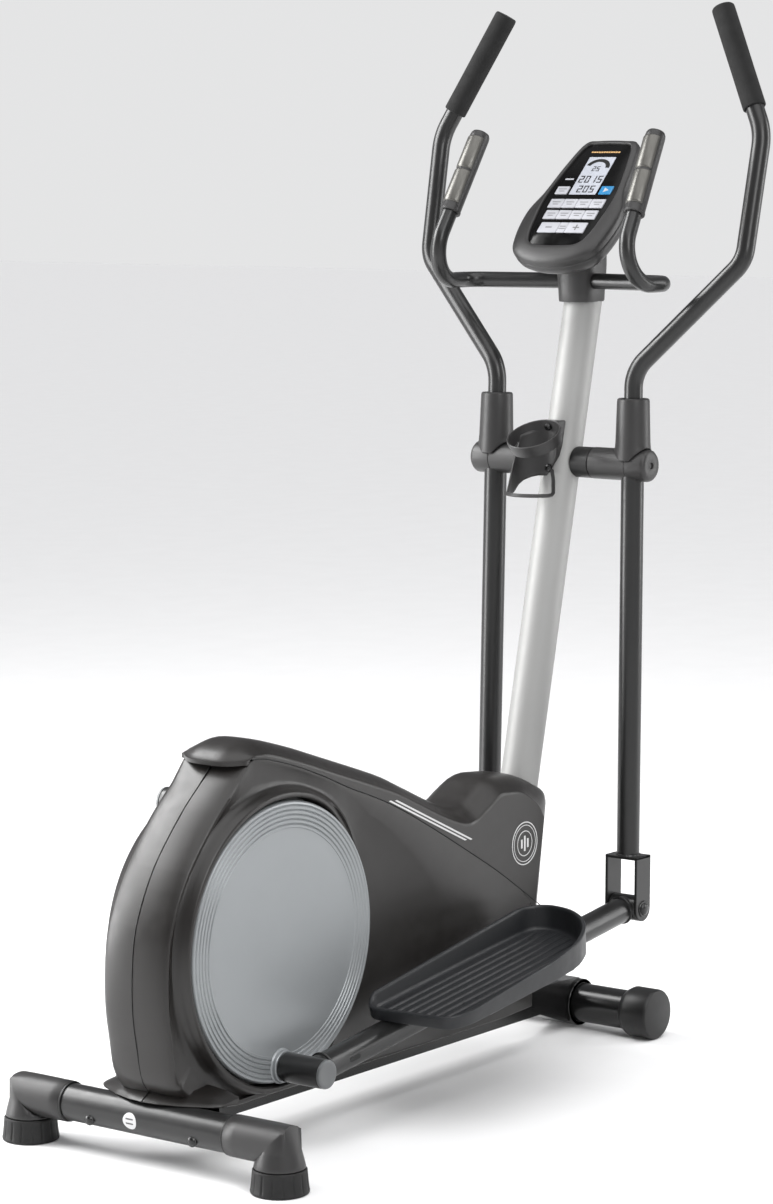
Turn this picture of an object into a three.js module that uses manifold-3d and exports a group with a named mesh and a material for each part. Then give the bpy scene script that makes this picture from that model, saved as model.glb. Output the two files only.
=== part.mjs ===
// Elliptical trainer: crank and flywheel drive at the rear, swinging hand levers on a mast in front.
// Millimetres. X runs forward, Y to the user's left, Z up. The constants and the shapes are measured
// from the crank axis in X, from the centre plane in Y and from the floor in Z. The finished group is
// moved along X so that its origin is under the middle of the whole trainer.
import * as THREE from 'three';
import { mergeVertices } from 'three/addons/utils/BufferGeometryUtils.js';
import Module from 'manifold-3d';

const wasm = await Module();
wasm.setup();

// ---- driving dimensions ----
const CENTRE_X = 356.3;
const GAP = 0.4;

const CRANK = { z: 288, throw: 177.8, phase: THREE.MathUtils.degToRad(-93.2) };
const DISC = { radius: 202, inner: 61, face: 73, boss: 80, well: 207, rim: 75.5 };
const SHAFT = { radius: 10, half: 65 };

const PIVOT = { x: 802, z: 913 };
const LEVER_LENGTH = 701.3;
const ARM_LENGTH = 810;
const TRACK = 131;
const LEVER = { tube: 18, socket: 17.5, bore: 15.2, pivotTube: 24.2, pivotStart: 60.3 };
const HANDLE_RADIUS = 14.5;
const AXLE = { radius: 9.5, half: 158 };
const FORK = { width: 40, outer: 60, plate: 5, top: 84.3, bolt: 6 };
const ARM = { tube: 20, wall: 2.5, sleeve: 21, sleeveStart: 81, sleeveEnd: 152, pin: 9 };

const MAST = { topX: 858.8, topZ: 1175, length: 1112.5, radius: 30, wall: 2.4, lean: THREE.MathUtils.degToRad(13.15) };
const REAR = { x: -208, z: 66, radius: 26.5, wall: 2, half: 200, capStart: 150 };
const FOOT = { y: 228.6, top: 33.6, radius: 41, neck: 37.5 };
const FRONT = { x: 811.5, z: 40, radius: 31, wall: 2, half: 163, capStart: 124, capEnd: 178.6, capRadius: 40 };

const RAIL = { half: 28, bottom: 44, top: 84, rear: -186 };
const SHELL = { half: 60, wall: 3, bottom: 66 };
const FLYWHEEL = { x: 330, z: 250, radius: 110, half: 13, pulley: 22 };
const DRIVE_PULLEY = 140;
const BELT = { near: 17, far: 33, thickness: 2.5 };
const MAGNET = { pinAngle: THREE.MathUtils.degToRad(68), pinRadius: 125, inner: 114, outer: 126 };

const CONSOLE = { x: 779.5, z: 1261.6, tilt: THREE.MathUtils.degToRad(-43.95) };
const PULSE = { radius: 12.5, grip: 16, contact: 17.8 };

const LOOKS = {
  darkSteel: { color: 0x3b3a39, roughness: 0.45, metalness: 0.35 },
  blackSteel: { color: 0x1d1d1e, roughness: 0.4, metalness: 0.3 },
  silverPaint: { color: 0xaeb4b4, roughness: 0.38, metalness: 0.55 },
  shroud: { color: 0x434140, roughness: 0.5, metalness: 0.0 },
  plastic: { color: 0x4a4948, roughness: 0.55, metalness: 0.0 },
  blackPlastic: { color: 0x232223, roughness: 0.55, metalness: 0.0 },
  disc: { color: 0x8d9496, roughness: 0.4, metalness: 0.3 },
  foam: { color: 0x343436, roughness: 0.95, metalness: 0.0 },
  rubber: { color: 0x2a2a2a, roughness: 0.85, metalness: 0.0 },
  pedal: { color: 0x3a3c40, roughness: 0.7, metalness: 0.0 },
  steel: { color: 0xb9bcbe, roughness: 0.3, metalness: 1.0 },
  castIron: { color: 0x55585a, roughness: 0.6, metalness: 0.8 },
  contact: { color: 0xb4b1a6, roughness: 0.3, metalness: 0.7 },
  overlay: { color: 0x101010, roughness: 0.25, metalness: 0.0 },
  lcd: { color: 0xc9d2e0, roughness: 0.2, metalness: 0.0 },
  whiteKey: { color: 0xe6e6ea, roughness: 0.4, metalness: 0.0 },
  blueKey: { color: 0x2f86b8, roughness: 0.35, metalness: 0.0 },
};

// ---- solids ----
// A closed triangle mesh as a solid that can be joined and cut.
function solid(geometry) {
  const bare = geometry.clone();
  bare.deleteAttribute('normal');
  bare.deleteAttribute('uv');
  const merged = mergeVertices(bare, 1e-3);
  const corners = merged.index.array;
  const kept = [];
  for (let i = 0; i < corners.length; i += 3) {
    const [a, b, c] = corners.slice(i, i + 3);
    if (a !== b && b !== c && c !== a) kept.push(a, b, c);
  }
  return new wasm.Manifold(new wasm.Mesh({
    numProp: 3,
    vertProperties: merged.attributes.position.array,
    triVerts: Uint32Array.from(kept),
  }));
}

function geometryOf(shape) {
  const mesh = shape.getMesh();
  const geometry = new THREE.BufferGeometry();
  geometry.setAttribute('position', new THREE.BufferAttribute(mesh.vertProperties, 3));
  geometry.setIndex(new THREE.BufferAttribute(mesh.triVerts, 1));
  geometry.computeVertexNormals();
  return geometry;
}

// The same solid on the other side of the centre plane.
function mirrored(shape) {
  const mesh = shape.getMesh();
  const points = Float32Array.from(mesh.vertProperties, (value, i) => (i % 3 === 1 ? -value : value));
  const corners = Uint32Array.from(mesh.triVerts);
  for (let i = 0; i < corners.length; i += 3) {
    [corners[i + 1], corners[i + 2]] = [corners[i + 2], corners[i + 1]];
  }
  return new wasm.Manifold(new wasm.Mesh({ numProp: 3, vertProperties: points, triVerts: corners }));
}

function join(first, ...others) {
  return others.reduce((sum, other) => sum.add(other), first);
}

function cut(first, ...others) {
  return others.reduce((rest, other) => rest.subtract(other), first);
}

function box(low, high) {
  const size = high.map((value, i) => value - low[i]);
  const middle = high.map((value, i) => (value + low[i]) / 2);
  return solid(new THREE.BoxGeometry(...size).translate(...middle));
}

// Cylinders and turned shapes about an axis along Y or Z. A turned shape's outline is [radius, height].
function rodY(radius, y0, y1, x = 0, z = 0, sides = 16) {
  return solid(new THREE.CylinderGeometry(radius, radius, y1 - y0, sides).translate(x, (y0 + y1) / 2, z));
}

function rodZ(radius, z0, z1, x = 0, y = 0, sides = 16) {
  const rod = new THREE.CylinderGeometry(radius, radius, z1 - z0, sides).rotateX(Math.PI / 2);
  return solid(rod.translate(x, y, (z0 + z1) / 2));
}

function turned(outline, sides) {
  return new THREE.LatheGeometry(outline.map(([r, h]) => new THREE.Vector2(r, h)), sides);
}

function turnedY(outline, x = 0, z = 0, sides = 16) {
  return solid(turned(outline, sides).translate(x, 0, z));
}

function turnedZ(outline, x = 0, y = 0, sides = 16) {
  return solid(turned(outline, sides).rotateX(Math.PI / 2).translate(x, y, 0));
}

// A flat outline of [x, z] corners, pulled along Y.
function plateY(outline, y0, y1) {
  const shape = new THREE.Shape(outline.map(([x, z]) => new THREE.Vector2(x, z)));
  const plate = new THREE.ExtrudeGeometry(shape, { depth: y1 - y0, bevelEnabled: false });
  return solid(plate.rotateX(Math.PI / 2).translate(0, y1, 0));
}

// A flat outline of [x, y] corners, pulled along Z.
function plateZ(outline, z0, z1) {
  const shape = new THREE.Shape(outline.map(([x, y]) => new THREE.Vector2(x, y)));
  return solid(new THREE.ExtrudeGeometry(shape, { depth: z1 - z0, bevelEnabled: false }).translate(0, 0, z0));
}

// A skin over sections that all have as many [x, z] corners, counter-clockwise, at rising Y.
function loftY(sections) {
  const count = sections[0].outline.length;
  const points = sections.flatMap(({ y, outline }) => outline.flatMap(([x, z]) => [x, y, z]));
  const corners = [];
  const cap = (outline) => THREE.ShapeUtils.triangulateShape(outline.map(([x, z]) => new THREE.Vector2(x, z)), []);
  cap(sections[0].outline).forEach(([a, b, c]) => corners.push(a, b, c));
  for (let ring = 0; ring + 1 < sections.length; ring += 1) {
    for (let i = 0; i < count; i += 1) {
      const a = ring * count + i;
      const b = ring * count + ((i + 1) % count);
      corners.push(a, b + count, b, a, a + count, b + count);
    }
  }
  const last = (sections.length - 1) * count;
  cap(sections.at(-1).outline).forEach(([a, b, c]) => corners.push(last + a, last + c, last + b));
  const geometry = new THREE.BufferGeometry();
  geometry.setAttribute('position', new THREE.Float32BufferAttribute(points, 3));
  geometry.setIndex(corners);
  return solid(geometry);
}

// The same outline moved inwards by a distance; its corners run counter-clockwise.
function inset(outline, distance) {
  return outline.map((corner, i) => {
    const before = outline[(i + outline.length - 1) % outline.length];
    const after = outline[(i + 1) % outline.length];
    const [a, b] = [[before, corner], [corner, after]].map(([from, to]) => {
      const length = Math.hypot(to[0] - from[0], to[1] - from[1]);
      return [-(to[1] - from[1]) / length, (to[0] - from[0]) / length];
    });
    const reach = distance / (1 + a[0] * b[0] + a[1] * b[1]);
    return [corner[0] + (a[0] + b[0]) * reach, corner[1] + (a[1] + b[1]) * reach];
  });
}

function arc(x, z, radius, from, to, steps) {
  return Array.from({ length: steps + 1 }, (_, i) => {
    const angle = from + ((to - from) * i) / steps;
    return [x + radius * Math.cos(angle), z + radius * Math.sin(angle)];
  });
}

// ---- bent tubes ----
// A path through given stations, so that a tube has steps only where it bends.
class StationPath extends THREE.Curve {
  constructor(stations) {
    super();
    this.stations = stations;
  }

  getPointAt(t, target = new THREE.Vector3()) {
    return target.copy(this.stations[Math.round(t * (this.stations.length - 1))]);
  }

  getTangentAt(t, target = new THREE.Vector3()) {
    const last = this.stations.length - 1;
    const here = Math.round(t * last);
    const next = this.stations[Math.min(here + 1, last)];
    return target.subVectors(next, this.stations[Math.max(here - 1, 0)]).normalize();
  }
}

// Stations along straight runs between corners, with a round bend of the given radius at each corner.
function bentPath(corners, bends, steps = 4) {
  const points = corners.map((corner) => new THREE.Vector3(...corner));
  const stations = [points[0]];
  bends.forEach((radius, i) => {
    const [before, corner, after] = points.slice(i, i + 3);
    const into = new THREE.Vector3().subVectors(corner, before).normalize();
    const out = new THREE.Vector3().subVectors(after, corner).normalize();
    const turn = into.angleTo(out);
    const across = out.clone().addScaledVector(into, -Math.cos(turn)).normalize();
    const start = corner.clone().addScaledVector(into, -radius * Math.tan(turn / 2));
    for (let step = 0; step <= steps; step += 1) {
      const angle = (turn * step) / steps;
      const station = start.clone().addScaledVector(into, radius * Math.sin(angle));
      stations.push(station.addScaledVector(across, radius * (1 - Math.cos(angle))));
    }
  });
  stations.push(points.at(-1));
  return new StationPath(stations);
}

function tubeAlong(path, radius, sides = 10) {
  const section = new THREE.Shape(arc(0, 0, radius, 0, 2 * Math.PI, sides).slice(0, -1)
    .map(([x, y]) => new THREE.Vector2(x, y)));
  const steps = path.stations.length - 1;
  return solid(new THREE.ExtrudeGeometry(section, { steps, extrudePath: path }));
}

// ---- pieces ----
const trainer = new THREE.Group();

function piece(name, shape, look, parent = trainer) {
  const mesh = new THREE.Mesh(geometryOf(shape), new THREE.MeshStandardMaterial(LOOKS[look]));
  mesh.name = name;
  parent.add(mesh);
  return mesh;
}

function groupAt(x, z, tilt, parent = trainer) {
  const group = new THREE.Group();
  group.position.set(x, 0, z);
  group.rotation.y = tilt;
  parent.add(group);
  return group;
}

// The foot of the mast's axis, from its top end, its length and its lean.
const mastFoot = {
  x: MAST.topX - MAST.length * Math.sin(MAST.lean),
  z: MAST.topZ - MAST.length * Math.cos(MAST.lean),
};

// A solid along the mast's axis, from z0 to z1 above its foot, in the trainer's frame.
function alongMast(radius, z0, z1) {
  const rod = new THREE.CylinderGeometry(radius, radius, z1 - z0, 16).rotateX(Math.PI / 2);
  rod.translate(0, 0, (z0 + z1) / 2).rotateY(MAST.lean);
  return solid(rod.translate(mastFoot.x, 0, mastFoot.z));
}

// Base frame: one weldment that holds both stabilizers, the mast, the crank and the flywheel.
function baseFrame() {
  const { half, bottom, top, rear } = RAIL;
  const rail = plateY([[rear, bottom + 2], [-150, bottom], [700, bottom - 4], [772, 14], [812, 14],
    [812, top - 4], [760, top], [rear, top + 2]], -half, half);
  const saddle = rodY(FRONT.radius + 6, -33, 33, FRONT.x, FRONT.z, 20);
  const rearPlate = box([-180.5, -100, 48], [-174, 100, 90]);
  const bearing = rodY(24, -36, 12, 0, CRANK.z);
  const post = box([-20, -36, top - 2], [20, 12, CRANK.z - 15]);
  const crossFoot = box([300, -42, top - 2], [360, 44, top + 6]);
  const uprights = [[-42, -36], [38, 44]].map(([y0, y1]) => box([300, y0, top], [360, y1, 275]));
  const pin = magnetPin();
  const magnetPost = box([pin.x - 12, -24, top - 2], [pin.x + 12, -18, pin.z + 8]);
  const magnetPin4 = rodY(4, -20, 14, pin.x, pin.z, 12);
  const stub = cut(alongMast(27, 2, 150), alongMast(24, 20, 151));
  const stubFoot = cut(alongMast(27, -20, 8), box([500, -40, 0], [700, 40, top - 10]));
  const body = join(rail, saddle, rearPlate, bearing, post, crossFoot, ...uprights, magnetPost, magnetPin4,
    stubFoot, stub);
  return cut(body, rodY(FRONT.radius + GAP + 0.2, -40, 40, FRONT.x, FRONT.z, 20),
    rodY(REAR.radius + GAP + 0.2, -110, 110, REAR.x, REAR.z, 18), rodY(SHAFT.radius + 0.6, -40, 14, 0, CRANK.z),
    rodY(8.6, -50, 50, FLYWHEEL.x, FLYWHEEL.z));
}

function magnetPin() {
  return {
    x: FLYWHEEL.x + MAGNET.pinRadius * Math.cos(MAGNET.pinAngle),
    z: FLYWHEEL.z + MAGNET.pinRadius * Math.sin(MAGNET.pinAngle),
  };
}

function pipeY(radius, wall, half, x, z, sides) {
  return cut(rodY(radius, -half, half, x, z, sides), rodY(radius - wall, -half - 1, half + 1, x, z, sides));
}

// Rear end cap: a sleeve over the tube end that turns down to the foot, with a sloping outer face.
function rearEndCap() {
  const { x, z, radius, half, capStart } = REAR;
  const sleeve = rodY(radius + 2.8, capStart, FOOT.y + 14, x, z, 18);
  const leg = turnedZ([[0, FOOT.top + GAP], [37, FOOT.top + GAP], [32, 58], [29.3, z], [29.3, z + 29.3],
    [0, z + 29.3]], x, FOOT.y, 18);
  const slope = plateX([[FOOT.y + 16, z + 40], [FOOT.y + 41, 30], [FOOT.y + 80, 30], [FOOT.y + 80, z + 40]],
    x - 60, x + 60);
  return cut(join(sleeve, leg), rodY(radius + GAP, capStart - 1, half + 1, x, z, 18),
    rodZ(6.5, 20, 78, x, FOOT.y, 10), slope);
}

// A flat outline of [y, z] corners, pulled along X.
function plateX(outline, x0, x1) {
  const shape = new THREE.Shape(outline.map(([y, z]) => new THREE.Vector2(y, z)));
  const plate = new THREE.ExtrudeGeometry(shape, { depth: x1 - x0, bevelEnabled: false });
  return solid(plate.rotateX(Math.PI / 2).rotateZ(Math.PI / 2).translate(x0, 0, 0));
}

function levellingFoot() {
  return turnedZ([[0, 0], [FOOT.radius - 2, 0], [FOOT.radius, 3], [FOOT.neck, FOOT.top], [5.5, FOOT.top],
    [5.5, 74], [0, 74]], REAR.x, FOOT.y, 20);
}

function frontEndCap() {
  const { x, z, radius, half, capStart, capEnd, capRadius } = FRONT;
  return turnedY([[radius + GAP, capStart], [radius + 3, capStart], [capRadius, capStart + 11],
    [capRadius, capEnd - 2], [capRadius - 2, capEnd], [0, capEnd], [0, half + 1], [radius + GAP, half + 1],
    [radius + GAP, capStart]], x, z, 20);
}

function mast() {
  const { length, radius, wall, lean } = MAST;
  const dx = PIVOT.x - mastFoot.x;
  const dz = PIVOT.z - mastFoot.z;
  const across = dx * Math.cos(lean) - dz * Math.sin(lean);
  const up = dx * Math.sin(lean) + dz * Math.cos(lean);
  return cut(rodZ(radius, 0, length), rodZ(radius - wall, -1, length + 1),
    rodY(AXLE.radius + 0.9, -40, 40, across, up));
}

function pivotTube() {
  return cut(rodY(24.5, 8, LEVER.pivotStart - 0.8, PIVOT.x, PIVOT.z), alongMast(MAST.radius + 0.5, 600, 1000),
    rodY(AXLE.radius + 0.7, 0, 70, PIVOT.x, PIVOT.z));
}

// ---- shroud ----
// Seam between the top shield and the side shields, from the front to the rear.
const SEAM = [[661, 224], [604, 261], [535, 304], [467, 342], [379, 390], [293, 434], [231, 461], [169, 484],
  [110, 509], [45, 533], [-21, 552], [-56, 556]];
const REAR_WALL = [[-97, 522], [-141, 483], [-197, 419], [-232, 353], [-244, 301], [-246, 229], [-238, 173],
  [-226, 121]];
const UNDERSIDE = [[-196, 92], [-150, 74], [-90, SHELL.bottom], [560, SHELL.bottom]];

// Top line of the top shield at its centre and at its sides, from the front of the neck to the visor's tip.
const RIDGE = [[716, 389], [705, 405], [633, 435], [578, 444], [546, 443], [508, 423], [470, 408], [414, 425],
  [326, 464], [267, 489], [128, 536], [67, 556], [-6, 576], [-38, 578], [-68, 567], [-87, 551]];
const SHOULDER = [[664, 372], [650, 391], [610, 416], [572, 422], [546, 421], [508, 403], [470, 389], [414, 405],
  [326, 444], [267, 469], [128, 516], [67, 537], [-6, 559], [-34, 562], [-50, 562], [-65, 555]];

// Side view of a side shield: under edge, front wall, seam, rear wall.
function sideOutline(frontX) {
  return [...UNDERSIDE, [frontX - 14, SHELL.bottom + 4], [frontX, 215], ...SEAM.slice(1), ...REAR_WALL];
}

// Side shield: a half shell with a round well for the crank disc and a raised rim round the well.
function sideShield() {
  const { half, wall } = SHELL;
  const { well, rim } = DISC;
  const centre = sideOutline(690);
  const edge = sideOutline(652);
  const body = loftY([{ y: 0.3, outline: centre }, { y: 50, outline: inset(edge, 2) },
    { y: half, outline: inset(edge, 9) }]);
  const hollow = loftY([{ y: -2, outline: inset(centre, wall) }, { y: half - wall, outline: inset(edge, 11) }])
    .subtract(box([-300, 44, 0], [-100, 90, 620]));
  const dome = turnedY([[0, 44], [well + 45, 44], [well + 12, rim - 5], [well + 6, rim], [0, rim]], 0, CRANK.z, 32);
  const ring = dome.intersect(plateY(inset(edge, 4), 40, 90));
  const rearTrim = cut(box([-300, 44.1, 0], [-100, 90, 620]), dome);
  return cut(join(body, ring), hollow, rearTrim, rodY(well, 50, 90, 0, CRANK.z, 32),
    box([-300, -1, 0], [720, RAIL.half + 1, RAIL.top + 11]), rodY(REAR.radius + 2, -1, 90, REAR.x, REAR.z, 18),
    alongMast(MAST.radius + 1.5, -30, 400), box([-300, -1, 40], [-150, 101, 94]));
}

// Side view of the top shield, from its centre (side = 0) to its sides (side = 1). The wall thickness is 0
// for the outside and positive for the hollow inside.
function lidOutline(side, wall) {
  const lerp = THREE.MathUtils.lerp;
  const top = RIDGE.map(([x, z], i) => [lerp(x, SHOULDER[i][0], side) - wall, lerp(z, SHOULDER[i][1], side) - wall]);
  const under = SEAM.slice(1, -1).reverse().map(([x, z]) => [x, z + 0.6 - 10 * wall]);
  const tip = wall > 0 ? [[-46, 525]] : [[lerp(-84, -63, side), lerp(547, 551.5, side)], [-58, 557.2]];
  return [...tip, ...under, [top[0][0] - 24, 224 - 10 * wall], ...(wall > 0 ? top.slice(0, -3) : top)];
}

// Top shield: a visor at the rear, a crowned lid along the top and a neck round the mast.
function topShield() {
  const stations = [[-SHELL.half, 1], [-42, 0.4], [-20, 0], [20, 0], [42, 0.4], [SHELL.half, 1]];
  const skin = (wall) => loftY(stations.map(([y, side]) => ({
    y: y - Math.sign(y) * wall,
    outline: lidOutline(side, wall),
  })));
  return cut(skin(0), skin(SHELL.wall), alongMast(MAST.radius + 1.5, 100, 460));
}

// ---- drive ----
function crankDisc() {
  const { radius, inner, face, boss } = DISC;
  const outline = [[0, face - 7], [SHAFT.radius + 0.5, face - 7], [SHAFT.radius + 0.5, 44], [24, 44], [24, inner],
    [radius - 3, inner], [radius, inner + 3], [radius, face - 2], [radius - 4, face], [radius - 26, face - 1],
    [0, face - 1]];
  return turnedY(outline, 0, 0, 32);
}

function drivePulley() {
  const bore = SHAFT.radius + 0.5;
  return turnedY([[bore, 13], [24, 13], [24, 16], [DRIVE_PULLEY, 16], [DRIVE_PULLEY, 34], [24, 34], [24, 36],
    [bore, 36], [bore, 13]], 0, CRANK.z, 28);
}

function flywheel() {
  const { x, z, radius, half, pulley } = FLYWHEEL;
  return turnedY([[0, -46], [8, -46], [8, -half], [radius, -half], [radius, half], [pulley, half], [pulley, 34],
    [8, 34], [8, 48], [0, 48]], x, z, 24);
}

// Belt round the drive pulley and the flywheel's small pulley, on their two outer tangents.
function driveBelt() {
  const across = FLYWHEEL.x;
  const rise = FLYWHEEL.z - CRANK.z;
  const heading = Math.atan2(rise, across);
  const loop = (clear) => {
    const big = DRIVE_PULLEY + clear;
    const small = FLYWHEEL.pulley + clear;
    const lean = Math.acos((big - small) / Math.hypot(across, rise));
    return [...arc(0, CRANK.z, big, heading + lean, heading + 2 * Math.PI - lean, 20),
      ...arc(FLYWHEEL.x, FLYWHEEL.z, small, heading - lean, heading + lean, 6)];
  };
  return cut(plateY(loop(1.4 + BELT.thickness), BELT.near, BELT.far), plateY(loop(1.4), BELT.near - 1, BELT.far + 1));
}

// Curved magnet carrier in front of the flywheel's rim, hung on its pin.
function brakeMagnet() {
  const { inner, outer, pinAngle } = MAGNET;
  const low = THREE.MathUtils.degToRad(-20);
  const sector = [...arc(0, 0, outer, low, pinAngle, 8), ...arc(0, 0, inner, pinAngle, low, 8)];
  const pin = magnetPin();
  const shape = join(plateY(sector, -12, 12), rodY(8, -12, 12, pin.x - FLYWHEEL.x, pin.z - FLYWHEEL.z, 16));
  return cut(shape, rodY(4.6, -15, 16, pin.x - FLYWHEEL.x, pin.z - FLYWHEEL.z, 12), rodY(112, -20, 20, 0, 0, 24));
}

// ---- levers, in a frame at the pivot with the fork bolt straight below it; left side ----
function leverWeldment() {
  const { tube, socket, bore, pivotTube: pivot, pivotStart } = LEVER;
  const forkTop = FORK.top - LEVER_LENGTH;
  const low = TRACK - FORK.outer / 2;
  const high = TRACK + FORK.outer / 2;
  const cheek = [...arc(0, -LEVER_LENGTH, FORK.width / 2, -Math.PI, 0, 8), [FORK.width / 2, forkTop],
    [-FORK.width / 2, forkTop]];
  const body = join(rodY(pivot, pivotStart, TRACK), rodY(20, TRACK - 2, 150), rodZ(tube, forkTop - 2, 0, 0, TRACK),
    rodZ(socket, 0, 92, 0, TRACK), plateY(cheek, low, low + FORK.plate), plateY(cheek, high - FORK.plate, high),
    box([-FORK.width / 2, low, forkTop - FORK.plate], [FORK.width / 2, high, forkTop]));
  return cut(body, rodY(AXLE.radius + 0.7, 50, 160), rodZ(bore, 26, 95, 0, TRACK),
    rodZ(tube - 2, forkTop + 3, -28, 0, TRACK, 8), rodY(3, TRACK - 30, TRACK, 0, forkTop + 20, 8),
    rodY(FORK.bolt + 0.6, low - 1, high + 1, 0, -LEVER_LENGTH, 16));
}

function pivotCap() {
  const start = TRACK + GAP;
  const end = 166.4;
  const cap = turnedY([[20.5, start], [24.5, start], [24.5, end - 7], [22, end - 2], [17, end], [0, end],
    [0, AXLE.half + 1], [AXLE.radius + 0.7, AXLE.half + 1], [AXLE.radius + 0.7, 151], [20.5, 151], [20.5, start]]);
  return cut(cap, rodZ(LEVER.tube + 0.6, -60, 0, 0, TRACK), rodZ(LEVER.socket + 0.6, 0, 60, 0, TRACK));
}

function handleSleeve() {
  const sleeve = turnedZ([[LEVER.socket + 0.6, -2], [28, -2], [25.4, 101], [23.4, 104], [HANDLE_RADIUS + 0.9, 104],
    [HANDLE_RADIUS + 0.9, 94], [LEVER.socket + 0.6, 94], [LEVER.socket + 0.6, -2]], 0, TRACK);
  return cut(sleeve, rodY(24.9, 90, 170));
}

const GRIP_TOP = [118.3, 210.2, 709.8];
const GRIP_BEND = [81, 308.5, 515];
const GRIP_LENGTH = 178;

// A point at a distance from the top of the hand grip, back along its axis.
function alongGrip(distance) {
  const top = new THREE.Vector3(...GRIP_TOP);
  const back = new THREE.Vector3(...GRIP_BEND).sub(top).normalize();
  return top.addScaledVector(back, distance).toArray();
}

function handle() {
  const path = bentPath([[0, TRACK, 26.5], [0, TRACK, 146], [43, 302, 319], GRIP_BEND, alongGrip(6)],
    [62, 52, 90]);
  return cut(tubeAlong(path, HANDLE_RADIUS), tubeAlong(path, HANDLE_RADIUS - 2, 6));
}

// Straight pieces along an axis from one point to another, built along Z from 0.
function stand(mesh, from, to) {
  const start = new THREE.Vector3(...from);
  const up = new THREE.Vector3(...to).sub(start).normalize();
  mesh.position.copy(start);
  mesh.quaternion.setFromUnitVectors(new THREE.Vector3(0, 0, 1), up);
}

function foamGrip() {
  return turnedZ([[HANDLE_RADIUS + 0.7, 0], [18.3, 0], [18.3, GRIP_LENGTH - 3], [15, GRIP_LENGTH], [0, GRIP_LENGTH],
    [0, GRIP_LENGTH - 5.4], [HANDLE_RADIUS + 0.7, GRIP_LENGTH - 5.4], [HANDLE_RADIUS + 0.7, 0]], 0, 0, 14);
}

function forkBolt() {
  const low = TRACK - FORK.outer / 2 - GAP;
  const high = TRACK + FORK.outer / 2 + GAP;
  return turnedY([[0, low - 6], [9, low - 6], [9, low], [FORK.bolt, low], [FORK.bolt, high], [10, high],
    [10, high + 2], [7, high + 6], [0, high + 6]], 0, 0, 12);
}

// ---- pedal arms, in a frame at the crank pin with the fork bolt straight ahead on X; left side ----
function pedalArm() {
  const { tube, wall, sleeve, sleeveStart, sleeveEnd, pin } = ARM;
  const tubeX = (radius, x0, x1, sides) => {
    const rod = new THREE.CylinderGeometry(radius, radius, x1 - x0, sides).rotateZ(Math.PI / 2);
    return solid(rod.translate((x0 + x1) / 2, TRACK, 0));
  };
  const brackets = [285, 470].map((x) => box([x, TRACK, 6], [x + 36, 236, 20.2]));
  const body = join(tubeX(tube, 4, ARM_LENGTH, 16), rodY(sleeve, sleeveStart, sleeveEnd),
    rodY(tube, TRACK - 24.4, TRACK + 24.4, ARM_LENGTH, 0), ...brackets);
  const ends = [box([-40, 60, -40], [0, sleeveStart, 40]), box([ARM_LENGTH + 5, 90, -40], [900, TRACK - 24.4, 40])];
  return cut(body, ...ends, tubeX(tube - wall, 26, ARM_LENGTH - 24, 8), rodZ(3, -40, 0, 120, TRACK, 8),
    rodY(pin + 0.6, 60, 160), rodY(FORK.bolt + 0.6, 90, 170, ARM_LENGTH, 0, 16));
}

// Crank pin with the round cap that closes the arm's rear sleeve.
function crankPin() {
  const { pin, sleeve, sleeveStart, sleeveEnd } = ARM;
  return turnedY([[0, sleeveStart], [pin, sleeveStart], [pin, sleeveEnd + GAP], [sleeve, sleeveEnd + GAP],
    [sleeve, sleeveEnd + 4], [sleeve - 1.5, sleeveEnd + 5], [0, sleeveEnd + 5]]);
}

// Pedal: a tray, open at the heel, with a round toe that curves in on its outer side.
const TREAD = [[161, 112], [172, 98], [196, 94], [572, 94], [596, 101], [605, 128], [598, 170], [574, 208],
  [540, 238], [492, 259], [432, 265], [212, 262], [178, 250], [162, 226]];

function pedal() {
  const under = ARM.tube + 0.6;
  const floor = under + 8;
  const rim = 66;
  const well = inset(TREAD, 6);
  const ribs = [118, 140, 162, 184, 206, 228].map((y) => box([200, y, floor - 1], [560 - Math.abs(y - 118) * 0.5,
    y + 4, floor + 3]));
  const tray = join(cut(plateZ(TREAD, under, rim), plateZ(well, floor, rim + 1)), ...ribs);
  const outerSlope = plateY([[150, 40], [220, 42], [560, 66], [640, 90], [150, 90]], 140, 300);
  const heelSlope = plateY([[150, 40], [176, 42], [214, 60], [240, 66], [240, 90], [150, 90]], 80, 150);
  return cut(tray, outerSlope, heelSlope);
}

// ---- upright ----
// Bottle holder: a plate on the mast's rear face, a ring that leans back, and a loop under a curved spine.
function bottleHolder() {
  const tilt = THREE.MathUtils.degToRad(-27);
  const at = (geometry) => solid(geometry.rotateY(tilt).translate(727, 0, 953));
  const ring = at(turned([[35, -12], [38, -12], [41, 10], [38, 10], [35, -12]], 20).rotateX(Math.PI / 2));
  const behind = (x, z) => [x + (z - 950) * Math.tan(MAST.lean), z];
  const plate = plateY([behind(760, 985), behind(790, 985), behind(790, 862), behind(758, 862), behind(758, 925)],
    -17, 17);
  const spine = plateY([[700, 868], behind(740, 876), behind(750, 892), behind(757, 925), behind(770, 925),
    behind(770, 864), [700, 864]], -13, 13);
  const loop = [[760, -15], [760, 15], [744, 30], [712, 36], [680, 30], [662, 12], [662, -12], [680, -30],
    [712, -36], [744, -30]];
  const strap = cut(plateZ(loop, 864, 873), plateZ(inset(loop, 4), 860, 880));
  const cup = at(new THREE.CylinderGeometry(35, 35, 80, 20).rotateX(Math.PI / 2));
  return cut(join(ring, cut(plate, cup), spine, strap), alongMast(MAST.radius + 0.5, 700, 1000));
}

// Half of the console's side outline as [along the face, half width], mirrored into a closed outline.
function consoleOutline(half) {
  return [...half, ...[...half].reverse().map(([x, y]) => [x, -y])];
}

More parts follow.
